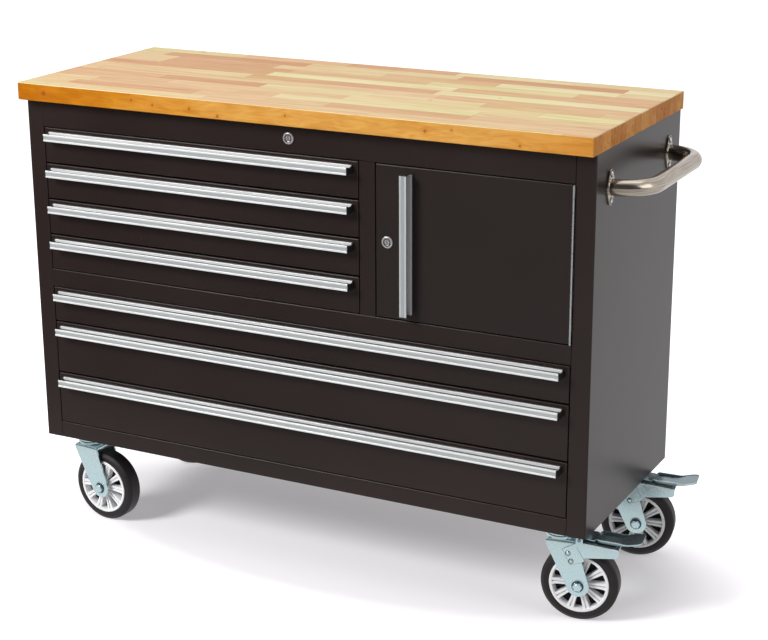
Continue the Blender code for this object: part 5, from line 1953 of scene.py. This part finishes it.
    def build_pedal(self) -> None:
        """Make the channel that flares into a curled tongue, on its cross pin."""
        name = self.caster.name
        length = self.pedal_reach - self.pivot[0]
        stations = ((0.00, 0.66, 0.00, 0.0), (0.10, 0.74, -0.08, 0.0), (0.22, 0.80, -0.18, 0.0),
                    (0.26, 0.60, -0.21, 0.0008), (0.275, 0.74, -0.22, 0.0024),
                    (0.30, 0.81, -0.24, 0.0034), (0.34, 0.83, -0.28, 0.0036),
                    (0.45, 0.83, -0.34, 0.0036), (0.55, 0.83, -0.39, 0.0036),
                    (0.62, 0.84, -0.38, 0.0030), (0.67, 0.86, -0.33, 0.0018),
                    (0.72, 0.91, -0.23, 0.0008), (0.77, 0.97, -0.11, 0.0003),
                    (0.82, 0.995, 0.02, 0.0002), (0.87, 1.00, 0.15, 0.0002),
                    (0.91, 0.985, 0.24, 0.0002), (0.95, 0.94, 0.33, 0.0002),
                    (0.98, 0.86, 0.39, 0.0002), (1.00, 0.72, 0.43, 0.0002))
        half, wall = self.pedal_sheet / 2, self.pedal_sheet
        shape = Shape()
        rings = []
        edge_highlights: tuple[list, list] = ([], [])
        for share, wide, rise, lip in stations:
            along = self.pivot[0] + length * share
            side = self.pedal_width * wide / 2
            middle = self.pivot[1] + self.pedal_rise * rise
            inner = side - wall
            rings.append([Vector((along, y, middle + up)) for y, up in (
                (-side + 0.0006, -half), (side - 0.0006, -half), (side, -half + 0.0007),
                (side, half + lip), (side - 0.0006, half + lip + 0.0003),
                (inner + 0.0002, half + lip), (inner - 0.0004, half), (-inner + 0.0004, half),
                (-inner - 0.0002, half + lip), (-side + 0.0006, half + lip + 0.0003),
                (-side, half + lip), (-side, -half + 0.0007))])
            # Raised strips along the pedal's edges in the lighter caster zinc: painted highlight
            # against the darker pedal.
            for way, edge_highlight in zip((-1, 1), edge_highlights):
                edge_highlight.append([Vector((min(along, self.pedal_reach - 0.0004), way * y, middle + half + lip + up)) for y, up in (
                    (inner - 0.0003, 0.0001), (inner - 0.0003, 0.0005), (side + 0.0001, 0.0005),
                    (side + 0.0001, -0.0012), (side - 0.0008, -0.0012))])
        shape.skin(rings)
        for edge_highlight in edge_highlights:
            shape.skin(edge_highlight, slot=1)
        centre = (self.pivot[0], 0, self.pivot[1])
        reach = self.outer + 0.0012
        shape.lathe([(self.pin_radius - 0.0006, -reach), (self.pin_radius + 0.0006, -reach + 0.0005),
                     (self.pin_radius + 0.0006, -self.outer), (self.pin_radius, -self.outer),
                     (self.pin_radius, self.outer), (self.pin_radius + 0.0006, self.outer),
                     (self.pin_radius + 0.0006, reach - 0.0005), (self.pin_radius - 0.0006, reach)],
                    Axis.Y, centre, 28)
        shape.move(self.caster.place())
        finish_piece(shape, name + "_curled_pedal", [PEDAL_PAINTED_SHADE_ZINC, CASTER_ZINC], name + "_pressing",
                     [name + "_pedal"], sharp=42)


@dataclass
class Studio:
    """The pale floor, the soft lamps and the camera."""

    floor_half: float = 14.0
    camera_spot: Spot = (1.64027, -3.11800, 1.59149)
    yaw: float = 27.16
    pitch: float = 17.626
    roll: float = -0.257
    focal: float = 1827.7
    image_width: float = 768.0
    sensor: float = 36.0

    def build(self) -> None:
        """Make the floor, the world, the lamps and the camera."""
        self.build_floor()
        self.build_world()
        self.lamp("key", (-2.3, -3.3, 3.1), (0.0, 0.0, 0.5), 1.5, 1.5, 196.0)
        self.lamp("top", (0.3, 0.2, 3.4), (0.0, 0.0, 0.5), 2.4, 2.4, 22.0)
        self.lamp("right", (3.4, -0.6, 2.0), (0.4, 0.0, 0.5), 1.8, 2.2, 26.0)
        self.build_camera()
        view = bpy.context.scene.view_settings
        view.view_transform = "Standard"

    def build_floor(self) -> None:
        """Make the floor."""
        half = self.floor_half
        mesh = bpy.data.meshes.new("studio_floor")
        mesh.from_pydata([(-half, -half, 0), (half, -half, 0), (half, half, 0), (-half, half, 0)],
                         [], [(0, 1, 2, 3)])
        floor = standing("studio_floor", mesh)
        mesh.materials.append(StudioFloor().material())

    def build_world(self) -> None:
        """White behind the bench and to the camera, darker behind the camera."""
        world = bpy.data.worlds.new("studio_world")
        bpy.context.scene.world = world
        world.use_nodes = True
        tree = world.node_tree
        shade = tree.nodes["Background"]
        shade.inputs["Color"].default_value = (1.0, 0.976, 1.0, 1.0)
        seen = tree.nodes.new("ShaderNodeLightPath")
        space = tree.nodes.new("ShaderNodeTexCoord")
        parts = tree.nodes.new("ShaderNodeSeparateXYZ")
        tree.links.new(space.outputs["Generated"], parts.inputs[0])

        def step(operation: str, first: object, second: object) -> bpy.types.NodeSocket:
            """One step of arithmetic."""
            node = tree.nodes.new("ShaderNodeMath")
            node.operation = operation
            for socket, value in zip(node.inputs, (first, second)):
                if isinstance(value, bpy.types.NodeSocket):
                    tree.links.new(value, socket)
                else:
                    socket.default_value = value
            return node.outputs[0]

        away = tree.nodes.new("ShaderNodeMapRange")
        for socket, value in zip(away.inputs[1:5], (-0.5, 0.1, 0.12, 1.0)):
            socket.default_value = value
        tree.links.new(parts.outputs["Y"], away.inputs[0])
        bright = step("MAXIMUM", seen.outputs["Is Camera Ray"], seen.outputs["Is Transmission Ray"])
        soft = step("MULTIPLY", step("SUBTRACT", 1.0, seen.outputs["Is Glossy Ray"]), 0.20)
        glossy = step("MULTIPLY", seen.outputs["Is Glossy Ray"], away.outputs[0])
        total = step("MAXIMUM", bright, step("ADD", glossy, soft))
        tree.links.new(total, shade.inputs["Strength"])

    def lamp(self, name: str, spot: Spot, aim: Spot, wide: float, tall: float,
             power: float) -> None:
        """Hang one soft lamp.

        Args:
            name: Its name.
            spot: Where it hangs.
            aim: Where it points.
            wide: Its width.
            tall: Its height.
            power: Its power in watts.
        """
        data = bpy.data.lights.new(name, "AREA")
        data.shape = "RECTANGLE"
        data.size, data.size_y, data.energy = wide, tall, power
        item = bpy.data.objects.new(name, data)
        item.location = spot
        item.rotation_euler = (Vector(aim) - Vector(spot)).to_track_quat("-Z", "Y").to_euler()
        bpy.context.scene.collection.objects.link(item)

    def build_camera(self) -> None:
        """Stand the camera where the photograph was taken from."""
        yaw, pitch, roll = (math.radians(turn) for turn in (self.yaw, self.pitch, self.roll))
        ahead = Vector((-math.sin(yaw) * math.cos(pitch), math.cos(yaw) * math.cos(pitch),
                        -math.sin(pitch)))
        level = Vector((math.cos(yaw), math.sin(yaw), 0))
        upright = level.cross(ahead)
        right = level * math.cos(roll) + upright * math.sin(roll)
        up = -level * math.sin(roll) + upright * math.cos(roll)
        data = bpy.data.cameras.new("camera")
        data.sensor_fit = "HORIZONTAL"
        data.sensor_width = self.sensor
        data.lens = self.focal / self.image_width * self.sensor
        camera = bpy.data.objects.new("camera", data)
        camera.matrix_world = Matrix.Translation(Vector(self.camera_spot)) @ Matrix(
            (right, up, -ahead)).transposed().to_4x4()
        bpy.context.scene.collection.objects.link(camera)
        bpy.context.scene.camera = camera


def main() -> None:
    """Build the bench piece by piece and report each."""
    logging.basicConfig(level=logging.INFO, format="%(name)s %(message)s")
    Studio().build()
    Worktop().build()
    CabinetBody().build()
    for number in range(1, 8):
        name = "drawer_%d" % number
        Drawer(name).build()
        Pull(name + "_pull", name + "_body").build()
    Door().build()
    Pull("door_pull", "door_body", upright=True).build()
    PianoHinge().build()
    CamLock("rail_lock", "cabinet", "rail_lock_turning").build()
    CamLock("door_lock", "door_body", "door_lock_turning").build()
    ring, hexagons = ring_of_copies(), heads_on_points(HeadKind.HEXAGONAL)
    domes = heads_on_points(HeadKind.DOMED)
    PushHandle().build(domes)
    for name, turn, has_brake in (("front_left", -5.0, False), ("front_right", 9.0, True),
                                  ("rear_left", 35.0, False), ("rear_right", 10.0, True)):
        caster = Caster(name, turn, Wheel())
        caster.build(ring, hexagons)
        if has_brake:
            Brake(caster).build(domes)


if __name__ == "__main__":
    main()
